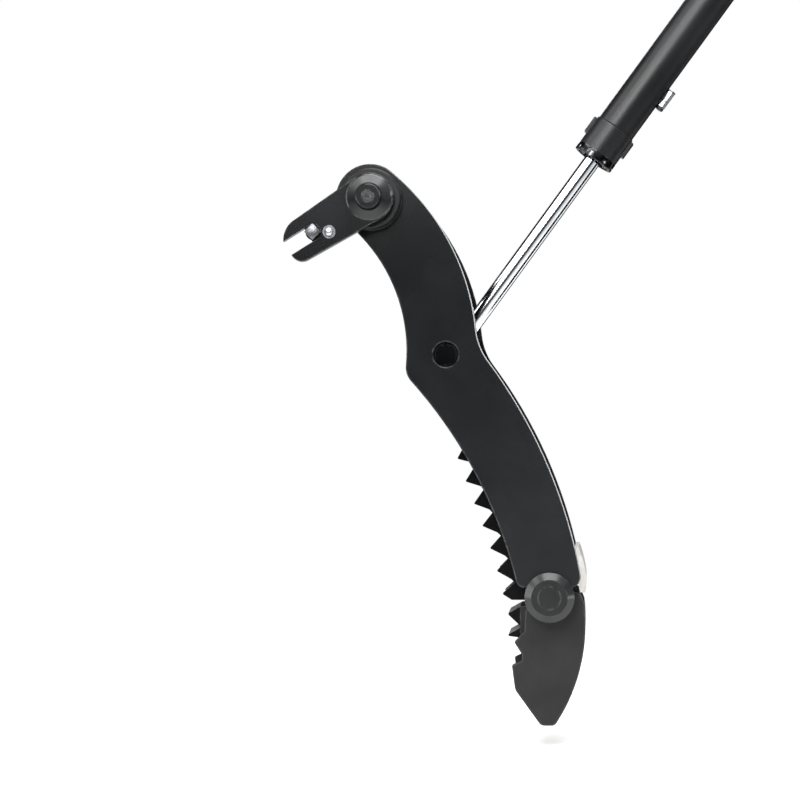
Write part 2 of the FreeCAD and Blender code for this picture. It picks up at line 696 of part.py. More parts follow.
def tip_back_web():
    """Curved plate between the tip plates along their back."""
    top, low = (68.0, -30.0), (16.0, -248.0)
    points = [(*at_pin(TIP_PIN, *top), TIP_BACK_RISE * 0.72), (*at_pin(TIP_PIN, *low), 0),
              (*at_pin(TIP_PIN, low[0] - TIP_WEB_T, low[1] + 4), -TIP_BACK_RISE * 0.72),
              (*at_pin(TIP_PIN, top[0] - TIP_WEB_T, top[1] + 4), 0)]
    return side_solid(points, -TIP_PLATE_IN, TIP_PLATE_IN)


def tip_centre_rib():
    """Rib in the middle of the tip, from the hub to the nose."""
    corners = [(-44.0, -30.0), (-44.0, -95.0), (-34.0, -140.0), (-42.0, -208.0), (-16.0, -262.0),
               (0.0, -262.0), (30.0, -180.0), (44.0, -100.0), (42.0, -30.0)]
    points = [(*at_pin(TIP_PIN, dx, dz), 0) for dx, dz in corners]
    rib = side_solid(points, -TIP_RIB_T / 2.0, TIP_RIB_T / 2.0)
    rib = rib.cut(round_y(*TIP_PIN, TIP_HUB_R, -TIP_RIB_T, TIP_RIB_T))
    return rib.cut([tip_face_web(), tip_back_web()])


def rod_eye():
    """Forged eye with the neck that the rod is welded to."""
    eye = Part.makeCylinder(EYE_R, EYE_W, Vector(0, -EYE_W / 2.0, 0), Vector(0, 1, 0))
    neck = turned_s([(0, 0), (NECK_END, 0), (NECK_END, ROD_R + 3), (EYE_R - 8, EYE_R - 12),
                     (0, EYE_R - 12)])
    bore = Part.makeCylinder(EYE_BUSH_R, EYE_W, Vector(0, -EYE_W / 2.0, 0), Vector(0, 1, 0))
    solid = eye.fuse(neck).removeSplitter().cut(bore)
    return on_cylinder(solid.cut(turned_s([(EYE_R - 4, 0), (NECK_END, 0), (NECK_END, ROD_R),
                                           (EYE_R - 4, ROD_R)])))


def eye_bush():
    """Bush for either eye, about the origin."""
    outer = Part.makeCylinder(EYE_BUSH_R, EYE_W, Vector(0, -EYE_W / 2.0, 0), Vector(0, 1, 0))
    inner = Part.makeCylinder(ROD_PIN_R + RUNNING, EYE_W, Vector(0, -EYE_W / 2.0, 0),
                              Vector(0, 1, 0))
    return outer.cut(inner)


def piston_rod():
    """Chromed rod with a reduced stud for the piston and its nut."""
    return on_cylinder(turned_s([
        (EYE_R - 4, 0), (ROD_END, 0), (ROD_END, ROD_STUD_R), (PISTON_START, ROD_STUD_R),
        (PISTON_START, ROD_R), (EYE_R - 4, ROD_R)]))


def piston_groove(share):
    """Start of a piston groove at a share of the piston's length."""
    return PISTON_START + PISTON_LENGTH * share - SEAL_LENGTH / 2.0


def piston():
    """Piston with one seal groove and two wear ring grooves."""
    body = ring_s(PISTON_START, PISTON_END, BARREL_BORE_R - 0.3, ROD_STUD_R)
    for share in (0.18, 0.5, 0.82):
        s0 = piston_groove(share)
        body = body.cut(ring_s(s0, s0 + SEAL_LENGTH, BARREL_BORE_R, BARREL_BORE_R - 4.5))
    return on_cylinder(body)


def piston_ring(share):
    """Ring that fills one of the piston's grooves."""
    s0 = piston_groove(share)
    return ring_s(s0, s0 + SEAL_LENGTH, BARREL_BORE_R - RUNNING, BARREL_BORE_R - 4.5)


def piston_nut():
    """Hexagon nut on the rod's stud."""
    nut = hex_bar(PISTON_NUT_FLATS, PISTON_NUT_LENGTH)
    nut.translate(Vector(PISTON_END, 0, 0))
    return on_cylinder(nut.cut(ring_s(PISTON_END - 1, ROD_END, ROD_STUD_R, 0)))


# The gland's inner fittings: name, start from the gland's front and length
WIPER_AT = (9.0, 10.0)
ROD_SEAL_AT = (30.0, 12.0)
ROD_BEARING_AT = (55.0, 45.0)


def gland_ring(place):
    """Ring in the gland's bore, round the rod."""
    s0 = GLAND_START + place[0]
    return ring_s(s0, s0 + place[1], GLAND_SEAT_R, ROD_R + RUNNING)


def gland_head():
    """Screwed gland with a dished front, spanner lugs and a spigot inside the barrel."""
    body = turned_s([
        (GLAND_START + GLAND_DISH_DEPTH, ROD_R + 0.5), (GLAND_START + GLAND_DISH_DEPTH, GLAND_DISH_R),
        (GLAND_START, GLAND_DISH_R), (GLAND_START, GLAND_R - 2), (GLAND_START + 2, GLAND_R),
        (GLAND_END, GLAND_R), (GLAND_END, BARREL_BORE_R), (GLAND_END + GLAND_SPIGOT, BARREL_BORE_R),
        (GLAND_END + GLAND_SPIGOT, ROD_R + 0.5)])
    for place in (WIPER_AT, ROD_SEAL_AT, ROD_BEARING_AT):
        s0 = GLAND_START + place[0]
        body = body.cut(ring_s(s0, s0 + place[1], GLAND_SEAT_R, 0))
    groove = GLAND_END + GLAND_SPIGOT / 2.0
    body = body.cut(ring_s(groove - 2, groove + 2, BARREL_BORE_R, BARREL_BORE_R - 3))
    for k in range(LUG_COUNT):
        lug = Part.makeBox(LUG_LENGTH, LUG_W, LUG_PROUD + 8,
                           Vector(GLAND_END - LUG_LENGTH - 2, -LUG_W / 2.0, GLAND_R - 8))
        lug = lug.makeFillet(2.0, [e for e in lug.Edges if e.BoundBox.ZMin > GLAND_R])
        lug.rotate(Vector(0, 0, 0), Vector(1, 0, 0), 360.0 / LUG_COUNT * k)
        body = body.fuse(lug)
    return on_cylinder(body.removeSplitter())


def gland_screws():
    """Socket screws in the gland's dished front."""
    screws = []
    seat = GLAND_START + GLAND_DISH_DEPTH
    circle = (GLAND_DISH_R + GLAND_SEAT_R) / 2.0
    for k in range(SCREW_COUNT):
        turn = math.radians(360.0 / SCREW_COUNT * (k + 0.5))
        place = Vector(seat, circle * math.cos(turn), circle * math.sin(turn))
        head = Part.makeCylinder(SCREW_HEAD_R, SCREW_HEAD_H, place, Vector(-1, 0, 0))
        socket = hex_bar(5.0, 3.0)
        socket.translate(place + Vector(-SCREW_HEAD_H, 0, 0))
        screws.append(on_cylinder(head.cut(socket)))
    return Part.makeCompound(screws)


def gland_o_ring():
    """Square-section static seal on the gland's spigot."""
    groove = GLAND_END + GLAND_SPIGOT / 2.0
    return on_cylinder(ring_s(groove - 2, groove + 2, BARREL_BORE_R, BARREL_BORE_R - 3))


def port_hole(s):
    """Oil way through the barrel's wall at a port."""
    start = BARREL_BORE_R - BARREL_WALL
    return Part.makeCylinder(PORT_HOLE_R, PORT_OUT - start, Vector(s, 0, -start),
                             Vector(0, 0, -1))


def barrel_tube():
    """Honed barrel, drilled at both ports."""
    tube = ring_s(GLAND_END, BARREL_END, BARREL_R, BARREL_BORE_R)
    return on_cylinder(tube.cut([port_hole(HEAD_PORT_S), port_hole(BASE_PORT_S)]))


def fitting_start(s):
    """Where the hexagonal fitting of the port at s begins."""
    return s - FITTING_LENGTH / 2.0 + FITTING_AHEAD


def fitting_bar(s):
    """Hexagonal bar of a port fitting in its place beside the barrel."""
    bar = hex_bar(FITTING_FLATS, FITTING_LENGTH)
    bar.rotate(Vector(0, 0, 0), Vector(1, 0, 0), FITTING_TURN)
    bar.translate(Vector(fitting_start(s), 0, -PORT_OUT))
    return bar


def port_boss(s):
    """Saddle boss on the barrel that a port fitting is seated in."""
    boss = Part.makeCylinder(PORT_BOSS_R, PORT_OUT - FITTING_FLATS / 2.0, Vector(s, 0, 0),
                             Vector(0, 0, -1))
    body = Part.makeCylinder(BARREL_R, 4 * PORT_BOSS_R, Vector(s - 2 * PORT_BOSS_R, 0, 0),
                             Vector(1, 0, 0))
    return on_cylinder(boss.cut([body, port_hole(s), fitting_bar(s)]))


def port_fitting(s):
    """Hexagonal port fitting, turned parallel with the barrel."""
    start = fitting_start(s)
    bore = Part.makeCylinder(FITTING_BORE_R, s - start, Vector(start, 0, -PORT_OUT),
                             Vector(1, 0, 0))
    return on_cylinder(fitting_bar(s).cut([bore, port_hole(s)]))


def port_cap(s):
    """Screwed cap on the open end of a port fitting."""
    return on_cylinder(Part.makeCylinder(PORT_CAP_R, PORT_CAP_LENGTH,
                                         Vector(fitting_start(s), 0, -PORT_OUT),
                                         Vector(-1, 0, 0)))


def base_cap():
    """Welded end cap of the barrel."""
    return on_cylinder(turned_s([
        (BARREL_END - CAP_SPIGOT, 0), (BARREL_END - CAP_SPIGOT, BARREL_BORE_R),
        (BARREL_END, BARREL_BORE_R), (BARREL_END, BARREL_R), (BARREL_END + CAP_T - 3, BARREL_R),
        (BARREL_END + CAP_T, BARREL_R - 3), (BARREL_END + CAP_T, 0)]))


def base_eye():
    """Base eye with its foot on the end cap."""
    centre = Vector(PIN_TO_PIN, -EYE_W / 2.0, 0)
    foot_s = BARREL_END + CAP_T
    foot = Part.makeBox(PIN_TO_PIN - foot_s, EYE_W * 0.8, EYE_R * 1.7,
                        Vector(foot_s, -EYE_W * 0.4, -EYE_R * 0.85))
    eye = Part.makeCylinder(EYE_R, EYE_W, centre, Vector(0, 1, 0)).fuse(foot).removeSplitter()
    bore = Part.makeCylinder(EYE_BUSH_R, EYE_W, centre, Vector(0, 1, 0))
    return on_cylinder(eye.cut(bore))


def base_bush():
    """Bush in the base eye."""
    bush = eye_bush()
    bush.translate(Vector(PIN_TO_PIN, 0, 0))
    return on_cylinder(bush)


def rod_eye_nipple():
    """Grease nipple on the side of the rod eye away from the rod."""
    stem = turned_s([(0, 0), (NIPPLE_H, 0), (NIPPLE_H - 2, 2.0), (NIPPLE_H - 5, NIPPLE_R - 1),
                     (0, NIPPLE_R - 1)])
    stem.rotate(Vector(0, 0, 0), Vector(0, 1, 0), 180)
    stem.translate(Vector(-EYE_R + 1, 0, 0))
    ball = Part.makeCylinder(EYE_R, EYE_W, Vector(0, -EYE_W / 2.0, 0), Vector(0, 1, 0))
    return on_cylinder(stem.cut(ball))


def build_mirrored(name, near_piece):
    """Save a near piece and its twin on the far side."""
    save(name + "_near", near_piece)
    save(name + "_far", mirrored(near_piece))


def build_pivot():
    """Pieces that stay with the machine's stick."""
    save("pivot_pin", pivot_pin())
    save("pin_grease_nipple", pin_grease_nipple())
    save("flag_plate", flag_plate())
    save("flag_weld_collar", flag_weld_collar())
    save("slot_keeper_block", slot_keeper_block())
    save("slot_square_bolt", slot_square_bolt())
    save("flag_bolt_washer", flag_bolt_washer())
    save("flag_dome_bolt", flag_dome_bolt())
    save("pin_end_plate", pin_end_plate())
    save("pin_end_bolt", pin_end_bolt())


def build_arm():
    """The swinging arm weldment and the pins fixed in it."""
    build_mirrored("side_plate", side_plate())
    build_mirrored("pivot_boss", pivot_boss())
    build_mirrored("pivot_bush", pivot_bush())
    build_mirrored("tooth_plate", tooth_plate())
    build_mirrored("rod_pin_boss", rod_pin_boss())
    build_mirrored("tip_pin_cap", tip_pin_cap())
    save("front_web", front_web())
    save("lower_diaphragm", lower_diaphragm())
    save("tip_stop_plate", tip_stop_plate())
    save("rod_pin", rod_pin())
    save("rod_pin_sleeves", rod_pin_sleeves())
    save("rod_pin_snap_rings", rod_pin_snap_rings())
    save("tip_pin", tip_pin())


def build_tip():
    """The hinged tip."""
    build_mirrored("tip_plate", tip_plate())
    build_mirrored("tip_bush", tip_bush())
    save("tip_hub", tip_hub())
    save("tip_face_web", tip_face_web())
    save("tip_tooth_bars", tip_tooth_bars())
    save("tip_back_web", tip_back_web())
    save("tip_centre_rib", tip_centre_rib())


def build_rod():
    """The cylinder's rod with its eye and piston."""
    save("rod_eye", rod_eye())
    save("rod_eye_bush", on_cylinder(eye_bush()))
    save("rod_eye_nipple", rod_eye_nipple())
    save("piston_rod", piston_rod())
    save("piston", piston())
    save("piston_seal", on_cylinder(piston_ring(0.5)))
    save("piston_wear_rings", Part.makeCompound([on_cylinder(piston_ring(s)) for s in (0.18, 0.82)]))
    save("piston_nut", piston_nut())


def build_barrel():
    """The cylinder's barrel with its gland, ports and base eye."""
    save("gland_head", gland_head())
    save("gland_screws", gland_screws())
    save("gland_o_ring", gland_o_ring())
    save("rod_wiper", on_cylinder(gland_ring(WIPER_AT)))
    save("rod_seal", on_cylinder(gland_ring(ROD_SEAL_AT)))
    save("rod_bearing", on_cylinder(gland_ring(ROD_BEARING_AT)))
    save("barrel_tube", barrel_tube())
    ports = (HEAD_PORT_S, BASE_PORT_S)
    save("port_bosses", Part.makeCompound([port_boss(s) for s in ports]))
    save("port_fittings", Part.makeCompound([port_fitting(s) for s in ports]))
    save("port_caps", Part.makeCompound([port_cap(s) for s in ports]))
    save("base_cap", base_cap())
    save("base_eye", base_eye())
    save("base_bush", base_bush())


build_pivot()
build_arm()
build_tip()
build_rod()
build_barrel()
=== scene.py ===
# %% [markdown]
# # A hydraulic thumb for an excavator
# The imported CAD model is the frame. It holds every piece at its real size and place,
# so this script adds what a CAD solid leaves out: finishes, weld beads, bolt heads,
# small rings and the light. The frame comes first, because all else is placed by it.
# %% Load the frame
import json
import math
import random

import bmesh
import bpy
from mathutils import Matrix, Vector


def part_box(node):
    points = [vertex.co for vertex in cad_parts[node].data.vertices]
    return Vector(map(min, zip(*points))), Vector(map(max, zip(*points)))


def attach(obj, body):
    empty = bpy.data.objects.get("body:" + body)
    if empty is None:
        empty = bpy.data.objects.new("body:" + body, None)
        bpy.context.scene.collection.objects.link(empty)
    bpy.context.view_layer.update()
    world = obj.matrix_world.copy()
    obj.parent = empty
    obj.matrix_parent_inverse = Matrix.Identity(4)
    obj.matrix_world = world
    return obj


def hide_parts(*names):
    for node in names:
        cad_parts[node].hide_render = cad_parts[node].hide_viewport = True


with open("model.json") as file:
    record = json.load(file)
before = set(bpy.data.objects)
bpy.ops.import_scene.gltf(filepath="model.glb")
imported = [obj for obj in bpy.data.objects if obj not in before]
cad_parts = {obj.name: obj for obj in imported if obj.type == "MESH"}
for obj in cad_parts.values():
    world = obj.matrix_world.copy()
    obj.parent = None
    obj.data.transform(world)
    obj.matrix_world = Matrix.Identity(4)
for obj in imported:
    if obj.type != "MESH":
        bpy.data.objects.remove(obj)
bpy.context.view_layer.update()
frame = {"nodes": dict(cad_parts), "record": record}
nodes = frame["nodes"]

# %% [markdown]
# ## Two helpers for finishes
# Colours are written as the hex values that a painter's chart gives. They are sRGB,
# and shaders want linear light, so one function turns them. A second function adds
# a node with its settings and links in one line, which keeps each recipe readable.
# %% Helpers for colours and nodes
MM = 0.001


def linear(hex_colour):
    """Linear RGBA of an sRGB hex colour."""
    channels = [int(hex_colour[i:i + 2], 16) / 255.0 for i in (1, 3, 5)]
    return (*[c / 12.92 if c <= 0.04045 else ((c + 0.055) / 1.055) ** 2.4 for c in channels], 1.0)


def add_node(tree, kind, inputs=None, **settings):
    """A new node with its settings, whose inputs are values or other nodes' sockets."""
    node = tree.nodes.new(kind)
    for name, value in settings.items():
        setattr(node, name, value)
    for socket, value in (inputs or {}).items():
        if isinstance(value, bpy.types.NodeSocket):
            tree.links.new(value, node.inputs[socket])
        else:
            node.inputs[socket].default_value = value
    return node


def new_material(name):
    """A material with its tree, its shader and its object coordinates."""
    material = bpy.data.materials.new(name)
    material.use_nodes = True
    tree = material.node_tree
    shader = tree.nodes["Principled BSDF"]
    place = add_node(tree, "ShaderNodeTexCoord").outputs["Object"]
    return material, tree, shader, place


def grain(tree, place, size_mm, detail=3.0, stretch=None):
    """Noise whose blotches are about size_mm across, longer along one axis if stretched."""
    if stretch:
        place = add_node(tree, "ShaderNodeMapping", {"Vector": place, "Scale": stretch}).outputs[0]
    return add_node(tree, "ShaderNodeTexNoise", {
        "Vector": place, "Scale": 1.0 / (size_mm * MM), "Detail": detail}).outputs["Fac"]


def ramp(tree, value, low, high, to_low=0.0, to_high=1.0):
    """A value between low and high, spread over to_low and to_high."""
    return add_node(tree, "ShaderNodeMapRange", {
        "Value": value, "From Min": low, "From Max": high,
        "To Min": to_low, "To Max": to_high}).outputs["Result"]


def blend_colours(tree, amount, first, second):
    """The first colour turning into the second by amount."""
    mix = add_node(tree, "ShaderNodeMix", data_type="RGBA")
    for index, value in ((0, amount), (6, first), (7, second)):
        socket = mix.inputs[index]
        if isinstance(value, bpy.types.NodeSocket):
            tree.links.new(value, socket)
        else:
            socket.default_value = value
    return mix.outputs[2]


def multiply(tree, first, second):
    """Two values multiplied."""
    return add_node(tree, "ShaderNodeMath", {0: first, 1: second}, operation="MULTIPLY").outputs[0]


def bumps(tree, shader, height, depth_mm, strength=0.6):
    """Relief of the given real depth under the shader."""
    bump = add_node(tree, "ShaderNodeBump", {
        "Height": height, "Distance": depth_mm * MM, "Strength": strength})
    tree.links.new(bump.outputs[0], shader.inputs["Normal"])


# The paler edges this gives are thin worn paint and also a painted highlight on the bevels.
def worn_and_highlit_edges(tree, place, radius_mm, patch_mm):
    """1 on edges sharper than the radius, broken into patches, and 0 on open faces."""
    rounded = add_node(tree, "ShaderNodeBevel", {"Radius": radius_mm * MM}, samples=4).outputs[0]
    true = add_node(tree, "ShaderNodeNewGeometry").outputs["Normal"]
    turn = add_node(tree, "ShaderNodeVectorMath", {0: rounded, 1: true}, operation="DOT_PRODUCT")
    edge = ramp(tree, turn.outputs["Value"], 0.985, 0.86)
    return multiply(tree, edge, ramp(tree, grain(tree, place, patch_mm), 0.36, 0.62))


print("helpers ready")

# %% [markdown]
# ## Satin black enamel on plate steel
# The arm is flame-cut plate, shot-blasted and sprayed with a satin black enamel.
# Sprayed paint dries with a fine orange-peel skin, a few hundredths of a millimetre
# deep and about two millimetres across, which spreads each highlight. Dust and
# handling leave wide, faint patches, and the paint is thin on every edge, so the edges
# are paler; that paler colour is also a painted highlight on the bevels. Low down the
# enamel is painted paler, for light bounced up from the floor. The back bevel of the arm
# and the upper flanks of the teeth are painted pale, a painted highlight on the faces
# turned towards the lamps. It is left out round the rod pin's hole, whose bevel lies inside the
# hole.
# %% Painted finishes
# Between these heights the enamel is painted paler downwards: painted light bounced up from the
# floor.
BOUNCE_TOP, BOUNCE_BOTTOM = -0.25, -0.95
# Upper tooth flanks turned this way, towards the lamps, get a painted highlight.
LIT_SIDE = (-0.60, 0.0, 0.80)
# The arm's back bevel turned this way, towards the bright right side, gets a painted highlight.
BACK_BEVEL = (0.70, -0.70, 0.14)
# Round this point, the rod pin's hole, no highlight is painted.
PIN_HOLE = (0.165, -0.120, -0.344)
UNHIGHLIT_UNTIL, HIGHLIT_BEYOND = 0.040, 0.050
# Edges are painted paler: worn paint, and a painted highlight on the bevels.
EDGE_WEAR_AND_HIGHLIGHT_RADIUS, EDGE_WEAR_AND_HIGHLIGHT_PATCH = 2.2, 14.0
PEEL_DEPTH = 0.015


def enamel(name, base, dust_and_bounce, edge, roughness, gloss, peel_mm, patch_mm, floor_bounce=0.0,
           highlight_colour=None, highlight_side=LIT_SIDE, highlight_from=0.55, highlight_full=0.85,
           no_highlight_round=None):
    """Sprayed enamel with orange peel, faint patches, paler edges that are partly a painted
    highlight, a paler bottom painted for floor bounce and a painted highlight on one side.
    """
    material, tree, shader, place = new_material(name)
    patches = ramp(tree, grain(tree, place, patch_mm, 6.0), 0.38, 0.72)
    # The enamel is painted paler towards the bottom, for light bounced up from the floor.
    if floor_bounce:
        height = add_node(tree, "ShaderNodeSeparateXYZ", {0: place}).outputs["Z"]
        bounce_light = ramp(tree, height, BOUNCE_TOP, BOUNCE_BOTTOM, 0.0, floor_bounce)
        patches = add_node(tree, "ShaderNodeMath", {0: bounce_light, 1: multiply(tree, patches, 0.35)},
                           operation="ADD", use_clamp=True).outputs[0]
    colour = blend_colours(tree, patches, linear(base), linear(dust_and_bounce))
    # Paler edges: worn paint, and a painted highlight on the bevels.
    wear_and_highlight = worn_and_highlit_edges(tree, place, EDGE_WEAR_AND_HIGHLIGHT_RADIUS, EDGE_WEAR_AND_HIGHLIGHT_PATCH)
    colour = blend_colours(tree, wear_and_highlight, colour, linear(edge))
    # Faces turned one way are painted pale: a painted highlight, left out round one point.
    if highlight_colour:
        facing = add_node(tree, "ShaderNodeVectorMath", {
            0: add_node(tree, "ShaderNodeTexCoord").outputs["Normal"], 1: highlight_side},
            operation="DOT_PRODUCT").outputs["Value"]
        painted_highlight = ramp(tree, facing, highlight_from, highlight_full)
        if no_highlight_round:
            away = add_node(tree, "ShaderNodeVectorMath", {0: place, 1: no_highlight_round},
                            operation="DISTANCE").outputs["Value"]
            painted_highlight = multiply(tree, painted_highlight, ramp(tree, away, UNHIGHLIT_UNTIL, HIGHLIT_BEYOND))
        colour = blend_colours(tree, painted_highlight, colour, linear(highlight_colour))
    tree.links.new(colour, shader.inputs["Base Color"])
    tree.links.new(ramp(tree, patches, 0.0, 1.0, roughness, roughness + 0.05),
                   shader.inputs["Roughness"])
    shader.inputs["Specular IOR Level"].default_value = gloss
    bumps(tree, shader, grain(tree, place, peel_mm, 2.0), PEEL_DEPTH)
    return material


black_enamel = enamel("satin_black_enamel", "#0a0b0c", "#202123", "#6a6c6e", 0.22, 0.15,
                      2.2, 160, floor_bounce=0.8)
# The arm's plates get a painted highlight on the back bevel.
plate_enamel = enamel("black_enamel_with_painted_highlight", "#0a0b0c", "#202123", "#6a6c6e", 0.22, 0.15,
                      2.2, 160, floor_bounce=0.8, highlight_colour="#8e9092", highlight_side=BACK_BEVEL,
                      highlight_from=0.82, highlight_full=0.93, no_highlight_round=PIN_HOLE)
# The tip's paler black is painted light, for light bounced up from the floor onto the low tip.
tip_enamel = enamel("black_enamel_painted_paler_for_bounce", "#1a1a1b", "#232323", "#5e6062", 0.38, 0.20, 2.2, 90)
cylinder_enamel = enamel("semi_gloss_black_enamel", "#0c0d0f", "#121315", "#4c4e51",
                         0.35, 0.30, 1.8, 220)
boss_enamel = enamel("deep_black_enamel", "#0b0b0c", "#101113", "#141517", 0.36, 0.20, 2.2, 60)
cone_enamel = enamel("glossy_cap_enamel", "#0d0e0f", "#131415", "#56585a", 0.24, 0.42, 2.2, 60)
pin_enamel = enamel("gloss_black_enamel", "#030304", "#050506", "#2c2e30", 0.12, 0.25, 2.0, 60)
# The teeth's darker black is painted shade, for the side plates' shadow on the set-back tooth
# plates.
tooth_enamel = enamel("matt_black_enamel_painted_shade_and_highlight", "#040405", "#070708", "#3c3e40", 0.24, 0.10, 2.0, 60,
                      highlight_colour="#7b7d7f")
print("eight enamels")

# %% [markdown]
# ## Bare metals
# Chrome on the rod is mirror-bright, with a very fine grain from the seals. Bolts are
# zinc-plated steel with a fine tumbled grain. Turned pin ends are a duller steel with a
# fine grain, and the stop plate is polished by rubbing. A metal's base colour is its
# reflection, so these colours are pale, and the default IOR is kept.
# %% Metal finishes
def metal(name, pale, dark, roughness, grain_mm, stretch=None, relief_mm=0.01, patch_mm=25.0):
    """Bare metal with a directional grain and slightly darker patches."""
    material, tree, shader, place = new_material(name)
    patches = ramp(tree, grain(tree, place, patch_mm, 4.0), 0.35, 0.7)
    tree.links.new(blend_colours(tree, patches, linear(pale), linear(dark)),
                   shader.inputs["Base Color"])
    fine = grain(tree, place, grain_mm, 3.0, stretch)
    tree.links.new(ramp(tree, fine, 0.2, 0.8, roughness - 0.05, roughness + 0.08),
                   shader.inputs["Roughness"])
    shader.inputs["Metallic"].default_value = 1.0
    bumps(tree, shader, fine, relief_mm, 0.4)
    return material


chrome = metal("hard_chrome", "#d6d9dc", "#c4c8cc", 0.09, 1.2,
               relief_mm=0.0008, patch_mm=60.0)
zinc_steel = metal("zinc_plated_steel", "#c3c5c7", "#a2a4a7", 0.30, 0.8, relief_mm=0.001)
dull_zinc = metal("dull_zinc_plate", "#a2a4a6", "#8c8e91", 0.45, 0.8, relief_mm=0.001)
turned_steel = metal("turned_pin_steel", "#8f9193", "#66686b", 0.36, 1.0)
polished_steel = metal("rubbed_bare_steel", "#c6c5c2", "#a09e9a", 0.42, 1.5, (1.0, 8.0, 1.0))
dark_steel = metal("oiled_dark_steel", "#4b4d50", "#35373a", 0.42, 1.0)
bolt_steel = metal("black_oxide_bolt_steel", "#6d6f72", "#47494c", 0.38, 0.9)
bronze = metal("bearing_bronze", "#a9845a", "#86663f", 0.34, 1.0)
print("eight metals")

# %% [markdown]
# ## Seals
# The wiper and the rod seal are cast polyurethane and nitrile rubber: dark, matt, with
# a mould's very fine grain. The wear rings are a hard dull plastic.
# %% Rubber and plastic
def moulded(name, base, worn, roughness, grain_mm):
    """Moulded rubber or plastic with a fine skin."""
    material, tree, shader, place = new_material(name)
    skin = grain(tree, place, grain_mm, 3.0)
    tree.links.new(blend_colours(tree, skin, linear(base), linear(worn)),
                   shader.inputs["Base Color"])
    tree.links.new(ramp(tree, skin, 0.2, 0.8, roughness - 0.06, roughness + 0.06),
                   shader.inputs["Roughness"])
    shader.inputs["Specular IOR Level"].default_value = 0.15
    bumps(tree, shader, skin, 0.02)
    return material


seal_rubber = moulded("nitrile_rubber", "#060607", "#0c0c0d", 0.62, 1.0)
wear_plastic = moulded("glass_filled_nylon", "#3a332b", "#4a4238", 0.5, 1.2)
print("two moulded finishes")

# %% [markdown]
# The record names a finish for every CAD node, so one table turns those names into
# the materials above. Pieces that stay as CAD solids are finished with this step.
# %% Finish every CAD node
FINISHES = {
    "black_paint": black_enamel, "tip_paint": tip_enamel, "cylinder_paint": cylinder_enamel,
    "worn_steel": polished_steel, "bolt_steel": bolt_steel, "bright_steel": zinc_steel,
    "pin_steel": turned_steel, "chrome_rod": chrome, "bronze": bronze,
    "steel_inside": dark_steel, "seal_rubber": seal_rubber, "wear_plastic": wear_plastic,
}
OTHER_FINISHES = {
    "side_plate_near": plate_enamel, "side_plate_far": plate_enamel,
    "pivot_pin": black_enamel, "pin_grease_nipple": black_enamel, "rod_pin": pin_enamel,
    "flag_weld_collar": cone_enamel, "tip_pin_cap_near": cone_enamel,
    "tip_pin_cap_far": cone_enamel, "pivot_boss_near": boss_enamel,
    "pivot_boss_far": boss_enamel, "gland_screws": zinc_steel,
    "rod_pin_sleeves": pin_enamel, "tooth_plate_near": tooth_enamel,
    "tooth_plate_far": tooth_enamel, "tip_tooth_bars": tooth_enamel,
}
for part in frame["record"]["subparts"]:
    paint = OTHER_FINISHES.get(part["node"], FINISHES[part["material_slot"]])
    for material_slot in nodes[part["node"]].material_slots:
        material_slot.material = paint

# %% [markdown]
# ## Helpers for turned pieces
# Bolts, washers, caps and nipples are turned on a lathe, so each is made as its turner
# would describe it: rings of a radius and a height. A circle is added for the first ring
# and extruded and resized for each next one. A closed profile comes back to its first
# ring, which gives a washer or a sleeve. The piece is modelled upright at the origin,
# then laid on its real axis, and its place is put into its mesh.
# %% Helpers for turned pieces
RING_SIDES = 48
SMOOTH_ANGLE = math.radians(35.0)


def edit(select="SELECT"):
    """Edit mode on the active object, with everything or nothing selected."""
    bpy.ops.object.mode_set(mode="EDIT")
    bpy.ops.mesh.select_all(action=select)


def leave_edit():
    """Back to object mode."""
    bpy.ops.object.mode_set(mode="OBJECT")


def only(piece):
    """Select one object and make it active."""
    bpy.ops.object.select_all(action="DESELECT")
    piece.select_set(True)
    bpy.context.view_layer.objects.active = piece


def turned(profile, sides=RING_SIDES, closed=False):
    """A lathe-turned piece along Z from rings of (radius, height) in millimetres."""
    bpy.ops.object.select_all(action="DESELECT")
    radius, height = profile[0]
    bpy.ops.mesh.primitive_circle_add(vertices=sides, radius=radius * MM,
                                      fill_type="NOTHING" if closed else "NGON",
                                      location=(0.0, 0.0, height * MM))
    piece = bpy.context.object
    bpy.ops.object.transform_apply(location=True)
    edit()
    for next_radius, next_height in profile[1:] + (profile[:1] if closed else []):
        bpy.ops.mesh.extrude_region_move(TRANSFORM_OT_translate={
            "value": (0.0, 0.0, (next_height - height) * MM)})
        share = next_radius / radius
        if share != 1.0:
            bpy.ops.transform.resize(value=(share, share, 1.0),
                                     center_override=(0.0, 0.0, next_height * MM))
        radius, height = next_radius, next_height
    bpy.ops.mesh.select_all(action="SELECT")
    bpy.ops.mesh.remove_doubles(threshold=1e-6)
    bpy.ops.mesh.normals_make_consistent(inside=False)
    leave_edit()
    return piece


def lay(piece, place, axis, turn=0.0):
    """Turn a piece about Z, point its Z along an axis and put it in its place."""
    only(piece)
    tilt = Vector((0.0, 0.0, 1.0)).rotation_difference(Vector(axis))
    piece.matrix_world = (Matrix.Translation(place) @ tilt.to_matrix().to_4x4()
                          @ Matrix.Rotation(turn, 4, "Z"))
    bpy.ops.object.transform_apply(location=True, rotation=True, scale=True)


def hollow(piece, cutter, operation="DIFFERENCE"):
    """Cut a piece with another one, or keep what they share."""
    only(piece)
    cut = piece.modifiers.new("cut", "BOOLEAN")
    cut.operation = operation
    cut.solver = "EXACT"
    cut.object = cutter
    bpy.ops.object.modifier_apply(modifier=cut.name)
    bpy.data.objects.remove(cutter)


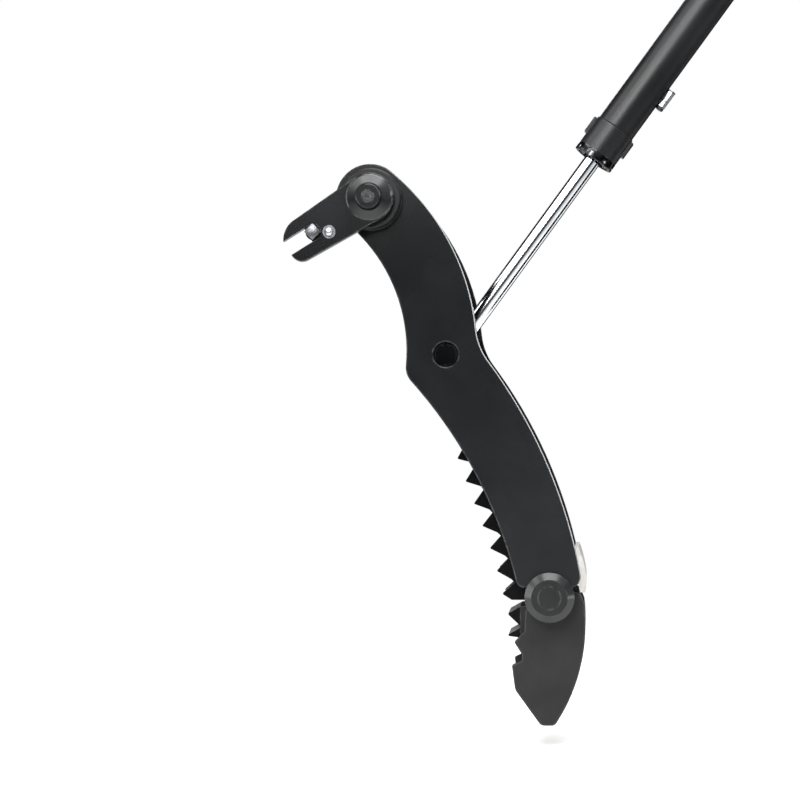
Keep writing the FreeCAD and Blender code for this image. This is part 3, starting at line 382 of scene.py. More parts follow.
def with_flats(blank, sides, corner_mm, length_mm, middle_mm, edge_mm, segments):
    """What a turned blank shares with a bar that has flat sides and rounded edges."""
    bpy.ops.object.select_all(action="DESELECT")
    bpy.ops.mesh.primitive_cylinder_add(vertices=sides, radius=corner_mm * MM,
                                        depth=length_mm * MM,
                                        location=(0.0, 0.0, middle_mm * MM))
    bar = bpy.context.object
    bpy.ops.object.transform_apply(location=True)
    edit()
    bpy.ops.mesh.bevel(offset=edge_mm * MM, segments=segments)
    leave_edit()
    hollow(bar, blank, "INTERSECT")
    return bar


def join(first, *others):
    """Join pieces into the first one."""
    only(first)
    for other in others:
        other.select_set(True)
    bpy.ops.object.join()
    return first


def mirrored_copy(piece, name):
    """A copy on the far side of the thumb, with its own mesh."""
    only(piece)
    bpy.ops.object.duplicate()
    copy = bpy.context.object
    copy.name = name
    copy.scale = (1.0, -1.0, 1.0)
    bpy.ops.object.transform_apply(scale=True)
    edit()
    bpy.ops.mesh.normals_make_consistent(inside=False)
    leave_edit()
    return copy


def finish(piece, name, body, material, replaced=()):
    """Name, smooth and paint a piece, and hang it on its body."""
    only(piece)
    piece.name = name
    bpy.ops.object.shade_smooth_by_angle(angle=SMOOTH_ANGLE)
    piece.data.materials.clear()
    piece.data.materials.append(material)
    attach(piece, body)
    if replaced:
        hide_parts(*replaced)
    print(name, len(piece.data.polygons), "faces")


def centre_of(node, y=None):
    """The middle of a CAD node's box, or of its cut in the plane y."""
    low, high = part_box(node)
    middle = (low + high) / 2.0
    return middle if y is None else Vector((middle.x, y, middle.z))


TOWARDS_CAMERA = (0.0, -1.0, 0.0)
AWAY = (0.0, 1.0, 0.0)

# %% [markdown]
# ## Bolts of the flag plate
# A square-headed bolt is forged, then its top corners are turned to a cone, so that a
# spanner slips on. A four-sided cylinder gives the square, and what it shares with a
# turned blank is the head. The domed bolt beside it is polished by hands and dust.
# %% Square-headed bolt
low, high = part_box("slot_square_bolt")
HEAD_WIDTH, BLANK_RADIUS = 26.0, 19.5
CROWN_RADIUS, CROWN_DEPTH = 12.0, 5.0
head_height = (high.y - low.y) / MM
blank = turned([(BLANK_RADIUS, 0.0), (BLANK_RADIUS, head_height - CROWN_DEPTH),
                (CROWN_RADIUS, head_height - 0.6), (CROWN_RADIUS - 1.0, head_height)])
square_bolt = with_flats(blank, 4, HEAD_WIDTH / math.sqrt(2.0), head_height, head_height / 2.0,
                         edge_mm=1.0, segments=3)
lay(square_bolt, centre_of("slot_square_bolt", high.y), TOWARDS_CAMERA)
finish(square_bolt, "square_bolt_head", "stick_side", bolt_steel,
       ["slot_square_bolt"])

# %% Domed bolt and its washer
low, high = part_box("flag_dome_bolt")
DOME_RADIUS, DOME_HEIGHT, DOME_EDGE, SHANK_RADIUS = 9.5, 7.0, 0.4, 6.0
DOME_STEPS, STEP_DEGREES = 8, 11.0
seat = (high.y - low.y) / MM - DOME_HEIGHT
dome_rings = [(SHANK_RADIUS, 0.0), (SHANK_RADIUS, seat), (DOME_RADIUS - DOME_EDGE, seat),
              (DOME_RADIUS, seat + DOME_EDGE)]
for step in range(1, DOME_STEPS + 1):
    turn = math.radians(STEP_DEGREES * step)
    dome_rings.append((max(DOME_RADIUS * math.cos(turn), 0.2),
                       seat + DOME_EDGE + (DOME_HEIGHT - DOME_EDGE) * math.sin(turn)))
dome_bolt = turned(dome_rings)
lay(dome_bolt, centre_of("flag_dome_bolt", high.y), TOWARDS_CAMERA)
finish(dome_bolt, "dome_bolt_polished", "stick_side", zinc_steel,
       ["flag_dome_bolt"])

low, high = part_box("flag_bolt_washer")
WASHER_HOLE, WASHER_RADIUS = SHANK_RADIUS + 0.2, 15.0
thick = (high.y - low.y) / MM
washer = turned([(WASHER_HOLE, 0.0), (WASHER_RADIUS, 0.0), (WASHER_RADIUS, thick - 0.8),
                 (WASHER_RADIUS - 0.8, thick), (WASHER_HOLE + 0.5, thick),
                 (WASHER_HOLE, thick - 0.5)], closed=True)
lay(washer, centre_of("flag_bolt_washer", high.y), TOWARDS_CAMERA)
finish(washer, "dome_bolt_washer", "stick_side", bolt_steel, ["flag_bolt_washer"])

# %% [markdown]
# ## Hexagon bolt on the far side
# The far end of the pivot pin is kept by an end plate and one hexagon bolt. Its head is
# made as the square one was, with a washer face under it.
# %% Hexagon bolt with a washer
low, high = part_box("pin_end_bolt")
FLATS, HEX_HEIGHT, FAR_WASHER_RADIUS, FAR_WASHER_THICK = 24.0, 10.0, 16.0, 3.0
FAR_BLANK_RADIUS, FAR_SHANK_RADIUS, FAR_NECK_RADIUS = 13.2, 7.9, 11.4
reach = (high.y - low.y) / MM
head_seat = reach - HEX_HEIGHT
washer_seat = head_seat - FAR_WASHER_THICK
blank = turned([(FAR_BLANK_RADIUS, head_seat - 0.5), (FAR_BLANK_RADIUS, reach - 2.2),
                (FAR_BLANK_RADIUS - 2.2, reach)])
hex_head = with_flats(blank, 6, FLATS / math.sqrt(3.0), HEX_HEIGHT, reach - HEX_HEIGHT / 2.0,
                      edge_mm=0.4, segments=2)
shank = turned([(FAR_SHANK_RADIUS, 0.0), (FAR_SHANK_RADIUS, washer_seat),
                (FAR_WASHER_RADIUS, washer_seat), (FAR_WASHER_RADIUS, head_seat - 0.8),
                (FAR_WASHER_RADIUS - 0.8, head_seat), (FAR_NECK_RADIUS, head_seat),
                (FAR_NECK_RADIUS, head_seat + 0.5)])
join(hex_head, shank)
lay(hex_head, centre_of("pin_end_bolt", low.y), AWAY, math.radians(30.0))
finish(hex_head, "pin_end_hex_bolt", "stick_side", zinc_steel, ["pin_end_bolt"])

# %% [markdown]
# ## Weld beads
# The arm is a weldment. A fillet weld is a row of small overlapping scallops, laid about
# every four millimetres as the torch steps along. Each bead is a curve with a round
# section whose thickness swells and shrinks from point to point, made a mesh at the end.
# Round beads follow a circle. Long ones follow the web's own edge, read from its CAD node.
# %% Bead along a path
BEAD_STEP = 2.0
BEAD_SWELL = 0.13
RING_POINTS = 96
chance = random.Random(7)


def resampled(points, step):
    """Points along a line of straight runs, a fixed step apart."""
    spaced = [points[0]]
    left = step
    for start, end in zip(points, points[1:]):
        run = (end - start).length
        travelled = 0.0
        while run - travelled >= left:
            travelled += left
            spaced.append(start.lerp(end, travelled / run))
            left = step
        left -= run - travelled
    return spaced


def bead(points, radius_mm, closed=False):
    """A weld bead whose scallops swell at every other point."""
    spaced = resampled(points, BEAD_STEP * MM)
    curve = bpy.data.curves.new("bead", "CURVE")
    curve.dimensions = "3D"
    curve.bevel_depth = radius_mm * MM
    curve.bevel_resolution = 2
    curve.use_fill_caps = not closed
    spline = curve.splines.new("POLY")
    spline.points.add(len(spaced) - 1)
    spline.use_cyclic_u = closed
    for index, (point, place) in enumerate(zip(spline.points, spaced)):
        point.co = (*place, 1.0)
        swell = BEAD_SWELL if index % 2 else -BEAD_SWELL
        point.radius = 1.0 + swell + chance.uniform(-0.05, 0.05)
    made = bpy.data.objects.new("bead", curve)
    bpy.context.scene.collection.objects.link(made)
    only(made)
    bpy.ops.object.convert(target="MESH")
    return bpy.context.object


def circle_points(centre, radius_mm, sides=RING_POINTS):
    """Points round a circle that faces the camera, back to the first one."""
    return [centre + Vector((math.cos(turn), 0.0, math.sin(turn))) * radius_mm * MM
            for turn in (2.0 * math.pi * k / sides for k in range(sides + 1))]


def ring_bead(node, radius_mm, y, bead_mm):
    """A bead round a circle about a CAD node's middle, in the plane y."""
    return bead(circle_points(centre_of(node, y), radius_mm), bead_mm, closed=True)


print("bead helpers ready")

# %% Beads round the bosses
plate_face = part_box("side_plate_near")[0].y
plate_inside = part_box("side_plate_near")[1].y
BOSS_RADIUS, BOSS_BEAD = 67.0, 3.0
ROD_BOSS_RADIUS, ROD_BOSS_BEAD = 45.0, 4.0
boss_welds = join(
    ring_bead("pivot_boss_near", BOSS_RADIUS, plate_face, BOSS_BEAD),
    ring_bead("pivot_boss_near", BOSS_RADIUS, -plate_face, BOSS_BEAD),
    ring_bead("rod_pin", ROD_BOSS_RADIUS, plate_inside, ROD_BOSS_BEAD),
    ring_bead("rod_pin", ROD_BOSS_RADIUS, -plate_inside, ROD_BOSS_BEAD))
finish(boss_welds, "boss_weld_beads", "arm", boss_enamel)


# %% The web's two long edges
SHARP_ANGLE = math.radians(40.0)


def plane_edges(node, y):
    """Lines of points along a CAD node's sharp edges in the plane y, the longest first."""
    copy = bmesh.new()
    copy.from_mesh(nodes[node].data)
    bmesh.ops.remove_doubles(copy, verts=copy.verts, dist=1e-6)
    edges = [e for e in copy.edges if all(abs(v.co.y - y) < 1e-5 for v in e.verts)
             and len(e.link_faces) == 2 and e.calc_face_angle(0.0) > SHARP_ANGLE]
    links = {}
    for e in edges:
        for one, other in (e.verts, reversed(e.verts)):
            links.setdefault(one.index, []).append(other.index)
    copy.verts.ensure_lookup_table()
    place = {index: copy.verts[index].co.copy() for index in links}
    copy.free()
    start = max(links, key=lambda index: place[index].z)
    loop, before = [start], None
    while True:
        ahead = [i for i in links[loop[-1]] if i != before]
        if not ahead or ahead[0] == start:
            break
        before = loop[-1]
        loop.append(ahead[0])
    loop = [place[index] for index in loop]
    runs, run = [], [loop[0]]
    for index in range(1, len(loop) + 1):
        here, following = loop[index % len(loop)], loop[(index + 1) % len(loop)]
        run.append(here)
        if (here - run[-2]).angle(following - here, 0.0) > SHARP_ANGLE:
            runs.append(run)
            run = [here]
    if len(run) > 1:
        runs.append(run)
    return sorted(runs, key=lambda line: -sum((b - a).length for a, b in zip(line, line[1:])))


web_low, web_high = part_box("front_web")
runs = plane_edges("front_web", web_low.y)
web_runs = sorted(runs[:2], key=lambda line: sum(point.x for point in line) / len(line))
web_front, web_back = web_runs
print("web edges of", len(web_front), "and", len(web_back), "points")


# %% Long beads of the arm
WEB_BEAD, TOOTH_BEAD, HUB_BEAD = 4.5, 3.5, 3.5
HUB_RADIUS = 42.0
ROOT_MARGIN = 0.006


def at_depth(line, y):
    """A line of points moved to the plane y."""
    return [Vector((point.x, y, point.z)) for point in line]


def between(line, low_z, high_z):
    """The part of a line between two heights."""
    return [point for point in resampled(line, BEAD_STEP * MM) if low_z < point.z < high_z]


web_welds = join(*[bead(at_depth(line, side * abs(web_low.y)), WEB_BEAD)
                   for line in (web_front, web_back) for side in (-1.0, 1.0)])
finish(web_welds, "web_weld_beads", "arm", black_enamel)

tooth_low, tooth_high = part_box("tooth_plate_near")
root = between(web_front, tooth_low.z + ROOT_MARGIN, tooth_high.z - ROOT_MARGIN)
tooth_welds = join(*[bead(at_depth(root, side * y), TOOTH_BEAD)
                     for y in (tooth_low.y, tooth_high.y) for side in (-1.0, 1.0)])
finish(tooth_welds, "tooth_weld_beads", "arm", black_enamel)

tip_plate_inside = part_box("tip_plate_near")[1].y
hub_welds = join(ring_bead("tip_hub", HUB_RADIUS, tip_plate_inside, HUB_BEAD),
                 ring_bead("tip_hub", HUB_RADIUS, -tip_plate_inside, HUB_BEAD))
finish(hub_welds, "tip_hub_weld_beads", "tip", tip_enamel)

# %% [markdown]
# ## Hydraulic fittings
# Oil enters through a hexagonal steel fitting beside each end of the barrel. It is zinc
# plated, with its ends chamfered on a lathe, a groove between nut and body, and a
# knurled dust cap. The cylinder leans in the picture, so these pieces are
# laid along its axis, from the rod pin towards the base.
# %% The cylinder's axis
ROD_PIN = centre_of("rod_pin")
ALONG = (centre_of("base_bush") - ROD_PIN).normalized()
ACROSS = Vector((ALONG.z, 0.0, -ALONG.x))
PORT_OUT = 53.5
FITTING_START = 19.0
HEAD_PORT, BASE_PORT = 753.0, 1225.0
FITTING_FLATS, FITTING_LENGTH = 17.5, 44.0
FITTING_TURN = math.radians(18.0)


def on_cylinder(distance_mm, out_mm=0.0):
    """A place along the cylinder, and out from it on the lower side."""
    return ROD_PIN + ALONG * distance_mm * MM + ACROSS * out_mm * MM


print("cylinder axis", tuple(round(c, 4) for c in ALONG))


# %% Hexagonal fittings
def hex_fitting():
    """Body, groove and nut of a port fitting, upright at the origin."""
    corner = FITTING_FLATS / math.sqrt(3.0)
    blank = turned([(corner - 1.4, 0.0), (corner + 0.1, 1.0), (corner + 0.1, 14.0),
                    (corner - 1.3, 14.8), (corner - 1.3, 15.6), (corner + 0.1, 16.4),
                    (corner + 0.1, FITTING_LENGTH - 1.0), (corner - 1.4, FITTING_LENGTH)])
    return with_flats(blank, 6, corner, FITTING_LENGTH, FITTING_LENGTH / 2.0,
                      edge_mm=0.5, segments=3)


fittings = []
for port in (HEAD_PORT, BASE_PORT):
    fitting = hex_fitting()
    lay(fitting, on_cylinder(port - FITTING_START, PORT_OUT), ALONG, FITTING_TURN)
    fittings.append(fitting)
finish(join(*fittings), "port_hex_fittings", "barrel", dull_zinc,
       ["port_fittings"])

# %% [markdown]
# The dust caps are steel, blackened, with a knurled rim for the fingers. A ring of 36
# sides whose every other edge is pushed in is enough for a knurl of this size.
# %% Knurled caps
CAP_RADIUS, CAP_LENGTH = 9.0, 8.0
KNURL_SIDES, KNURL_DEPTH = 36, 0.5


def knurled_cap():
    """A chamfered cap whose middle band is knurled."""
    cap = turned([(CAP_RADIUS - 0.6, 0.0), (CAP_RADIUS - 0.5, 0.6), (CAP_RADIUS - 0.5, 1.2),
                  (CAP_RADIUS, 1.5), (CAP_RADIUS, 6.2), (CAP_RADIUS - 0.8, 7.2),
                  (CAP_RADIUS - 2.2, CAP_LENGTH - 0.2), (CAP_RADIUS - 3.0, CAP_LENGTH)],
                 sides=KNURL_SIDES)
    edit("DESELECT")
    mesh = bmesh.from_edit_mesh(cap.data)
    for vertex in mesh.verts:
        side = round(math.atan2(vertex.co.y, vertex.co.x) / (2.0 * math.pi) * KNURL_SIDES)
        vertex.select = side % 2 == 1 and vertex.co.xy.length > (CAP_RADIUS - 0.1) * MM
    bmesh.update_edit_mesh(cap.data)
    shrink = 1.0 - KNURL_DEPTH / CAP_RADIUS
    bpy.ops.transform.resize(value=(shrink, shrink, 1.0), center_override=(0.0, 0.0, 0.0))
    leave_edit()
    return cap


caps = []
for port in (HEAD_PORT, BASE_PORT):
    cap = knurled_cap()
    lay(cap, on_cylinder(port - FITTING_START, PORT_OUT), -ALONG)
    caps.append(cap)
finish(join(*caps), "port_dust_caps", "barrel", dark_steel, ["port_caps"])

# %% [markdown]
# ## Snap rings of the rod pin
# Each end of the rod pin is kept by an inner snap ring: a flat spring with two ears and
# a small hole in each ear for the pliers. A turned ring is bisected open at the top, and
# the ears are two drilled discs.
# %% Snap rings
ring_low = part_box("rod_pin_snap_rings")[0]
RING_OUTER, RING_INNER, RING_THICK = 28.0, 23.0, 3.0
EAR_RADIUS, EAR_HOLE, EAR_SPREAD = 4.0, 1.3, 8.0
GAP_HALF = 4.0


def drilled_disc(radius, hole, thick):
    """A disc with a hole through its middle."""
    return turned([(hole, 0.0), (radius, 0.0), (radius, thick - 0.3), (radius - 0.3, thick),
                   (hole, thick)], sides=24, closed=True)


def snap_ring():
    """An open ring with two ears, flat on the floor, its gap towards +Y."""
    ring = turned([(RING_INNER, 0.0), (RING_OUTER, 0.0), (RING_OUTER, RING_THICK - 0.3),
                   (RING_OUTER - 0.3, RING_THICK), (RING_INNER + 0.3, RING_THICK),
                   (RING_INNER, RING_THICK - 0.3)], sides=96, closed=True)
    bpy.ops.object.select_all(action="DESELECT")
    bpy.ops.mesh.primitive_cube_add(size=1.0, location=(0.0, RING_OUTER * MM, 0.0))
    notch = bpy.context.object
    notch.scale = (2.0 * GAP_HALF * MM, 2.0 * RING_OUTER * MM * 0.9, 4.0 * RING_THICK * MM)
    bpy.ops.object.transform_apply(location=True, scale=True)
    hollow(ring, notch)
    ears = []
    for side in (-1.0, 1.0):
        ear = drilled_disc(EAR_RADIUS, EAR_HOLE, RING_THICK)
        lay(ear, Vector((side * EAR_SPREAD, RING_INNER - 1.5, 0.0)) * MM, (0.0, 0.0, 1.0))
        ears.append(ear)
    return join(ring, *ears)


near_ring = snap_ring()
lay(near_ring, centre_of("rod_pin", ring_low.y + RING_THICK * MM), TOWARDS_CAMERA)
far_ring = mirrored_copy(near_ring, "far_ring")
finish(join(near_ring, far_ring), "rod_pin_eared_rings", "arm", pin_enamel,
       ["rod_pin_snap_rings"])

# %% [markdown]
# ## Small rings
# A black rubber ring, standing as painted shade, fills the groove between the pivot pin
# and its cone, and a thin steel disc lies in the pin's recess round the grease nipple. A
# black rubber ring at the step between gland and barrel is painted shade in the seam.
# %% Rings
pin_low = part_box("pivot_pin")[0]
cone_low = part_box("flag_weld_collar")[0]
PIN_RADIUS, GROOVE_RADIUS = 27.6, 31.2
# A black ring that stands as painted shade in the groove round the pin.
groove_shade_ring = turned([(PIN_RADIUS, 0.0), (GROOVE_RADIUS, 0.0), (GROOVE_RADIUS, 0.6),
                    (GROOVE_RADIUS - 0.6, 1.4), (PIN_RADIUS + 0.5, 1.6), (PIN_RADIUS, 1.2)],
                   closed=True)
lay(groove_shade_ring, centre_of("pivot_pin", cone_low.y), TOWARDS_CAMERA)
finish(groove_shade_ring, "pivot_groove_shade_ring", "stick_side", seal_rubber)

PIN_RECESS_DEPTH = 3.0
DISC_HOLE, DISC_RADIUS, DISC_THICK = 6.5, 13.2, 0.8
recess_disc = turned([(DISC_HOLE, 0.0), (DISC_RADIUS, 0.0), (DISC_RADIUS, 0.5),
                      (DISC_RADIUS - 0.4, DISC_THICK), (DISC_HOLE + 0.4, DISC_THICK),
                      (DISC_HOLE, 0.5)], closed=True)
lay(recess_disc, centre_of("pivot_pin", pin_low.y + PIN_RECESS_DEPTH * MM), TOWARDS_CAMERA)
finish(recess_disc, "pin_recess_disc", "stick_side", cone_enamel)

GLAND_START, GLAND_END = 549.0, 633.0
GLAND_RADIUS, BARREL_RADIUS = 48.0, 45.0
# A black ring at the step, as painted shade in the seam.
seam_shade_ring = turned([(BARREL_RADIUS, 0.0), (GLAND_RADIUS - 0.3, 0.0), (GLAND_RADIUS - 0.3, 2.2),
                    (BARREL_RADIUS + 0.8, 3.6), (BARREL_RADIUS, 3.6)], closed=True)
lay(seam_shade_ring, on_cylinder(GLAND_END), ALONG)
finish(seam_shade_ring, "gland_seam_shade_ring", "barrel", seal_rubber)
print("three rings")

# %% [markdown]
# The gland is screwed in with a hook wrench, so its rim is a blackened ring with eight
# slots. The lock tab is screwed down in one slot, and a small zinc screw sits in each of
# the others.
# %% Blocks round the cylinder
TAB_TURN = math.radians(-10.0)
SLOT_MIDDLE = GLAND_START + 5.0


def outwards(turn):
    """The way out of the cylinder, turned about its axis from the camera's side downwards."""
    return ACROSS * math.sin(turn) + Vector((0.0, -math.cos(turn), 0.0))


def station(distance_mm, out_mm, turn):
    """A place out from the cylinder, with its axes across, along and out."""
    out = outwards(turn)
    placed = Matrix((ALONG.cross(out), ALONG, out)).transposed().to_4x4()
    placed.translation = on_cylinder(distance_mm) + out * out_mm * MM
    return placed


def block(size_mm, distance_mm, out_mm, turn):
    """A block whose sides lie across, along and out from the cylinder."""
    bpy.ops.object.select_all(action="DESELECT")
    bpy.ops.mesh.primitive_cube_add(size=1.0)
    made = bpy.context.object
    made.matrix_world = (station(distance_mm, out_mm, turn)
                         @ Matrix.Diagonal([side * MM for side in size_mm] + [1.0]))
    bpy.ops.object.transform_apply(location=True, rotation=True, scale=True)
    return made


# %% Wrench ring
RING_RADIUS, SLOTS = GLAND_RADIUS + 0.5, 8
SLOT_SIZE = (9.0, 12.0, 4.0)
wrench_ring = turned([(GLAND_RADIUS - 2.0, 0.6), (RING_RADIUS - 0.9, 0.3), (RING_RADIUS, 1.2),
                      (RING_RADIUS, 17.6), (RING_RADIUS - 0.7, 18.6), (GLAND_RADIUS - 2.0, 19.0)],
                     closed=True)
lay(wrench_ring, on_cylinder(GLAND_START), ALONG)
slot_turns = [TAB_TURN + 2.0 * math.pi * k / SLOTS for k in range(SLOTS)]
for turn in slot_turns:
    hollow(wrench_ring, block(SLOT_SIZE, SLOT_MIDDLE, RING_RADIUS, turn))
finish(wrench_ring, "gland_wrench_ring", "barrel", pin_enamel)

# %% Lock tab and screws
TAB_SIZE = (6.0, 11.0, 2.0)
SCREW_PLACE = SLOT_MIDDLE + 2.0
SCREW_RINGS = [(2.4, 0.0), (2.4, 1.4), (1.7, 2.2)]
lock_tab = block(TAB_SIZE, SLOT_MIDDLE, GLAND_RADIUS + 0.2, TAB_TURN)
edit()
bpy.ops.mesh.bevel(offset=0.5 * MM, segments=2)
leave_edit()
tab_screws = []
for turn in slot_turns:
    foot = GLAND_RADIUS + (1.0 if turn == TAB_TURN else -0.6)
    screw = turned(SCREW_RINGS, sides=24)
    lay(screw, on_cylinder(SCREW_PLACE) + outwards(turn) * foot * MM, outwards(turn))
    tab_screws.append(screw)
finish(join(lock_tab, *tab_screws), "gland_lock_tab", "barrel", dull_zinc)

# %% [markdown]
# ## Welds of the cylinder
# The base cap is welded on the barrel and the rod in the neck of its eye. Both beads are
# rings about the cylinder's axis.
# %% Ring welds
NECK_END, NECK_RADIUS, BARREL_END = 56.0, 20.6, 1265.0
CAP_BEAD, NECK_BEAD = 2.4, 1.6


def axis_bead(distance_mm, radius_mm, bead_mm):
    """A bead round the cylinder's axis, at a distance from the rod pin."""
    turns = [2.0 * math.pi * k / RING_POINTS for k in range(RING_POINTS + 1)]
    sideways = Vector((0.0, 1.0, 0.0))
    return bead([on_cylinder(distance_mm) + (ACROSS * math.cos(turn) + sideways * math.sin(turn))
                 * radius_mm * MM for turn in turns], bead_mm, closed=True)


finish(axis_bead(BARREL_END, BARREL_RADIUS - 0.4, CAP_BEAD), "base_cap_weld_bead", "barrel",
       cylinder_enamel)
finish(axis_bead(NECK_END, NECK_RADIUS, NECK_BEAD), "rod_eye_weld_bead", "rod", cylinder_enamel)

# %% [markdown]
# The open end of each fitting carries a blackened union nut, and a black saddle weld
# runs along the barrel on both sides of the boss that the fitting is seated in.
# %% Union nuts and saddle welds
NUT_BORE, NUT_CORNER, NUT_LENGTH = 6.0, 10.4, 4.0
NUT_PLACE = FITTING_LENGTH - 4.5
union_nuts = []
for port in (HEAD_PORT, BASE_PORT):
    nut = turned([(NUT_BORE, 0.0), (NUT_CORNER - 0.8, 0.0), (NUT_CORNER, 0.8),
                  (NUT_CORNER, NUT_LENGTH - 0.8), (NUT_CORNER - 0.8, NUT_LENGTH),
                  (NUT_BORE, NUT_LENGTH)], sides=6, closed=True)
    lay(nut, on_cylinder(port - FITTING_START + NUT_PLACE, PORT_OUT), ALONG, FITTING_TURN)
    union_nuts.append(nut)
finish(join(*union_nuts), "port_union_nuts", "barrel", dark_steel)

SADDLE_OUT, SADDLE_SIDE, SADDLE_HALF, SADDLE_BEAD = 44.2, 11.0, 15.0, 3.0
saddles = []
for port in (HEAD_PORT, BASE_PORT):
    for side in (-1.0, 1.0):
        shift = Vector((0.0, side * SADDLE_SIDE * MM, 0.0))
        saddles.append(bead([on_cylinder(port - SADDLE_HALF, SADDLE_OUT) + shift,
                             on_cylinder(port + SADDLE_HALF, SADDLE_OUT) + shift],
                            SADDLE_BEAD))
finish(join(*saddles), "port_saddle_welds", "barrel", boss_enamel)

# %% [markdown]
# ## Floor, light and camera
# The stage is a white room. The floor is a pale matt sheet that takes the shadow of the
# tip and turns to plain white further out, so no horizon shows. Black paint and chrome
# are mostly made of what they mirror. Three soft lamps in a row from the camera to the
# upper left make the broad highlight on the barrel, and a wide one above lights the cones
# round the pins. The room is dark low down behind the camera and at the far left. Two
# black cards at the lower right give the chrome its dark lines, and a third one behind
# keeps the barrel's right edge dark.
# %% Floor
FLOOR_X, FLOOR_Z = 0.35, -1.212
FLOOR_SIZE = 60.0
SHADOW_REACH, WHITE_REACH = 1.6, 3.6
DIM_UNTIL, DIM_FROM, DIM_SHARE = -7.0, -4.6, 0.06
LIT_SHARE = 0.2

bpy.ops.object.select_all(action="DESELECT")
bpy.ops.mesh.primitive_plane_add(size=FLOOR_SIZE, location=(FLOOR_X, 0.0, FLOOR_Z))
floor = bpy.context.object
floor.name = "floor"
floor_material, tree, shader, place = new_material("matt_white_floor")
rays = add_node(tree, "ShaderNodeLightPath").outputs
looked_at = add_node(tree, "ShaderNodeMath", {0: rays["Is Camera Ray"], 1: rays["Is Glossy Ray"]},
                     operation="MAXIMUM").outputs[0]
distance = add_node(tree, "ShaderNodeVectorMath", {0: place}, operation="LENGTH").outputs["Value"]
far = ramp(tree, distance, SHADOW_REACH, WHITE_REACH)
forward = add_node(tree, "ShaderNodeSeparateXYZ", {0: place}).outputs["Y"]
in_front = ramp(tree, forward, DIM_UNTIL, DIM_FROM, DIM_SHARE, 1.0)
in_front = add_node(tree, "ShaderNodeMath", {0: in_front, 1: rays["Is Camera Ray"]},
                    operation="MAXIMUM").outputs[0]
hidden = multiply(tree, far, looked_at)
sheet_colour = blend_colours(tree, grain(tree, place, 900.0), linear("#ebebea"), linear("#eeeeed"))
tree.links.new(blend_colours(tree, hidden, sheet_colour, linear("#000000")),
               shader.inputs["Base Color"])
lit = multiply(tree, in_front, ramp(tree, far, 0.0, 1.0, LIT_SHARE, 1.0))
tree.links.new(multiply(tree, looked_at, lit), shader.inputs["Emission Strength"])
shader.inputs["Emission Color"].default_value = linear("#ffffff")
shader.inputs["Roughness"].default_value = 0.9
shader.inputs["Specular IOR Level"].default_value = 0.0
floor.data.materials.append(floor_material)
print("floor at", FLOOR_Z)


# %% Lamps
def soft_lamp(name, place, aim, size, power):
    """A rectangular area lamp that looks at a point."""
    light = bpy.data.lights.new(name, "AREA")
    light.shape = "RECTANGLE"
    light.size, light.size_y = size
    light.energy = power
    lamp = bpy.data.objects.new(name, light)
    lamp.location = place
    lamp.rotation_euler = (Vector(aim) - Vector(place)).to_track_quat("-Z", "Y").to_euler()
    bpy.context.scene.collection.objects.link(lamp)


soft_lamp("key_lamp", (-0.60, -4.4, 1.85), (0.7, 0.0, 0.3), (1.6, 1.8), 150.0)
soft_lamp("side_key_lamp", (-2.4, -3.2, 2.7), (0.5, 0.0, 0.1), (2.2, 2.0), 45.0)
soft_lamp("far_key_lamp", (-3.3, -0.6, 3.2), (0.6, 0.0, 0.2), (1.8, 1.8), 45.0)
soft_lamp("brow_lamp", (0.0, -3.4, 3.6), (0.3, 0.0, -0.3), (4.2, 1.3), 240.0)
soft_lamp("top_lamp", (0.5, -0.6, 4.2), (0.4, -0.1, 0.0), (4.0, 2.6), 240.0)
soft_lamp("left_lamp", (-4.2, -0.4, 0.3), (0.3, 0.0, -0.3), (0.7, 3.0), 60.0)
soft_lamp("right_lamp", (5.0, -0.6, 0.3), (0.5, 0.0, -0.3), (0.7, 3.0), 80.0)
soft_lamp("back_lamp", (0.8, 4.2, 2.2), (0.4, 0.0, -0.2), (2.4, 1.6), 60.0)
print("eight lamps")


# %% Black cards
def black_card(name, distance_mm, turn, away_mm, size):
    """A card beside the cylinder, turned round its axis from the camera's side downwards."""
    bpy.ops.object.select_all(action="DESELECT")
    bpy.ops.mesh.primitive_plane_add(size=1.0)
    card = bpy.context.object
    card.name = name
    card.matrix_world = (station(distance_mm, away_mm, turn)
                         @ Matrix.Diagonal((*size, 1.0, 1.0)))
    card.visible_camera = card.visible_diffuse = card.visible_shadow = False
    card.data.materials.append(card_black)


card_black, tree, shader, place = new_material("black_felt_card")
shader.inputs["Specular IOR Level"].default_value = 0.0
tree.links.new(blend_colours(tree, grain(tree, place, 40.0), linear("#020202"), linear("#040404")),
               shader.inputs["Base Color"])
black_card("barrel_card", 1320.0, math.radians(77.0), 1200.0, (2.6, 1.05))
black_card("rod_card", 470.0, math.radians(88.0), 1100.0, (0.66, 0.62))
black_card("edge_card", 1000.0, math.radians(152.0), 1200.0, (0.9, 1.9))
print("three cards")

# %% Sky
SKY_LIGHT = 0.36
SKY_LOW, SKY_HIGH = 0.03, 1.0
LOW_UNTIL, HIGH_FROM = 0.02, 0.34
BRIGHT_SIDE = (0.95, 0.30, 0.0)
DARK_SIDE = (-0.62, 0.72, 0.31)
ASIDE_FROM, ASIDE_FULL = 0.05, 0.5
DARK_FROM, DARK_FULL = 0.54, 0.64

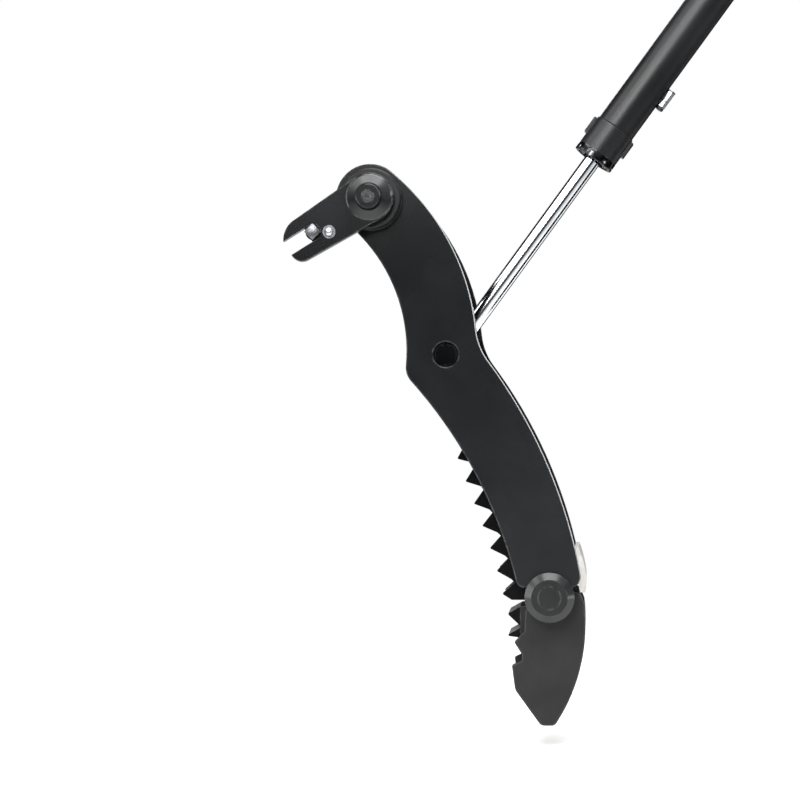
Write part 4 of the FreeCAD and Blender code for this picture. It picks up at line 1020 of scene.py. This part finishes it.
world = bpy.data.worlds.new("studio_sky")
bpy.context.scene.world = world
world.use_nodes = True
sky = world.node_tree
background = sky.nodes["Background"]
background.inputs["Color"].default_value = linear("#ffffff")
rays = add_node(sky, "ShaderNodeLightPath").outputs
mirrored = add_node(sky, "ShaderNodeMath", {
    0: rays["Is Glossy Ray"], 1: rays["Is Transmission Ray"]}, operation="MAXIMUM").outputs[0]
direction = add_node(sky, "ShaderNodeTexCoord").outputs["Generated"]
up = add_node(sky, "ShaderNodeSeparateXYZ", {0: direction}).outputs["Z"]
dome = ramp(sky, up, LOW_UNTIL, HIGH_FROM, SKY_LOW, SKY_HIGH)
aside = add_node(sky, "ShaderNodeVectorMath", {0: direction, 1: BRIGHT_SIDE},
                 operation="DOT_PRODUCT").outputs["Value"]
dome = add_node(sky, "ShaderNodeMath", {
    0: dome, 1: ramp(sky, aside, ASIDE_FROM, ASIDE_FULL)}, operation="MAXIMUM").outputs[0]
behind = add_node(sky, "ShaderNodeVectorMath", {0: direction, 1: DARK_SIDE},
                  operation="DOT_PRODUCT").outputs["Value"]
dome = multiply(sky, dome, ramp(sky, behind, DARK_FROM, DARK_FULL, 1.0, SKY_LOW))
strength = add_node(sky, "ShaderNodeMix", {0: mirrored, 2: SKY_LIGHT, 3: dome}).outputs[0]
strength = add_node(sky, "ShaderNodeMix", {
    0: rays["Is Camera Ray"], 2: strength, 3: 1.0}).outputs[0]
sky.links.new(strength, background.inputs["Strength"])
print("sky ready")

# %% Camera
CAMERA_PLACE = (0.482, -4.525, -0.5435)
CAMERA_LOOK = (-418.0, 4400.0, 99.0)
LENS, SENSOR_WIDTH = 90.0, 36.0
camera_data = bpy.data.cameras.new("camera")
camera_data.lens = LENS
camera_data.sensor_width = SENSOR_WIDTH
camera = bpy.data.objects.new("camera", camera_data)
camera.location = CAMERA_PLACE
camera.rotation_euler = Vector(CAMERA_LOOK).to_track_quat("-Z", "Y").to_euler()
bpy.context.scene.collection.objects.link(camera)
bpy.context.scene.camera = camera
bpy.context.scene.view_settings.view_transform = "Standard"
print("camera at", CAMERA_PLACE)
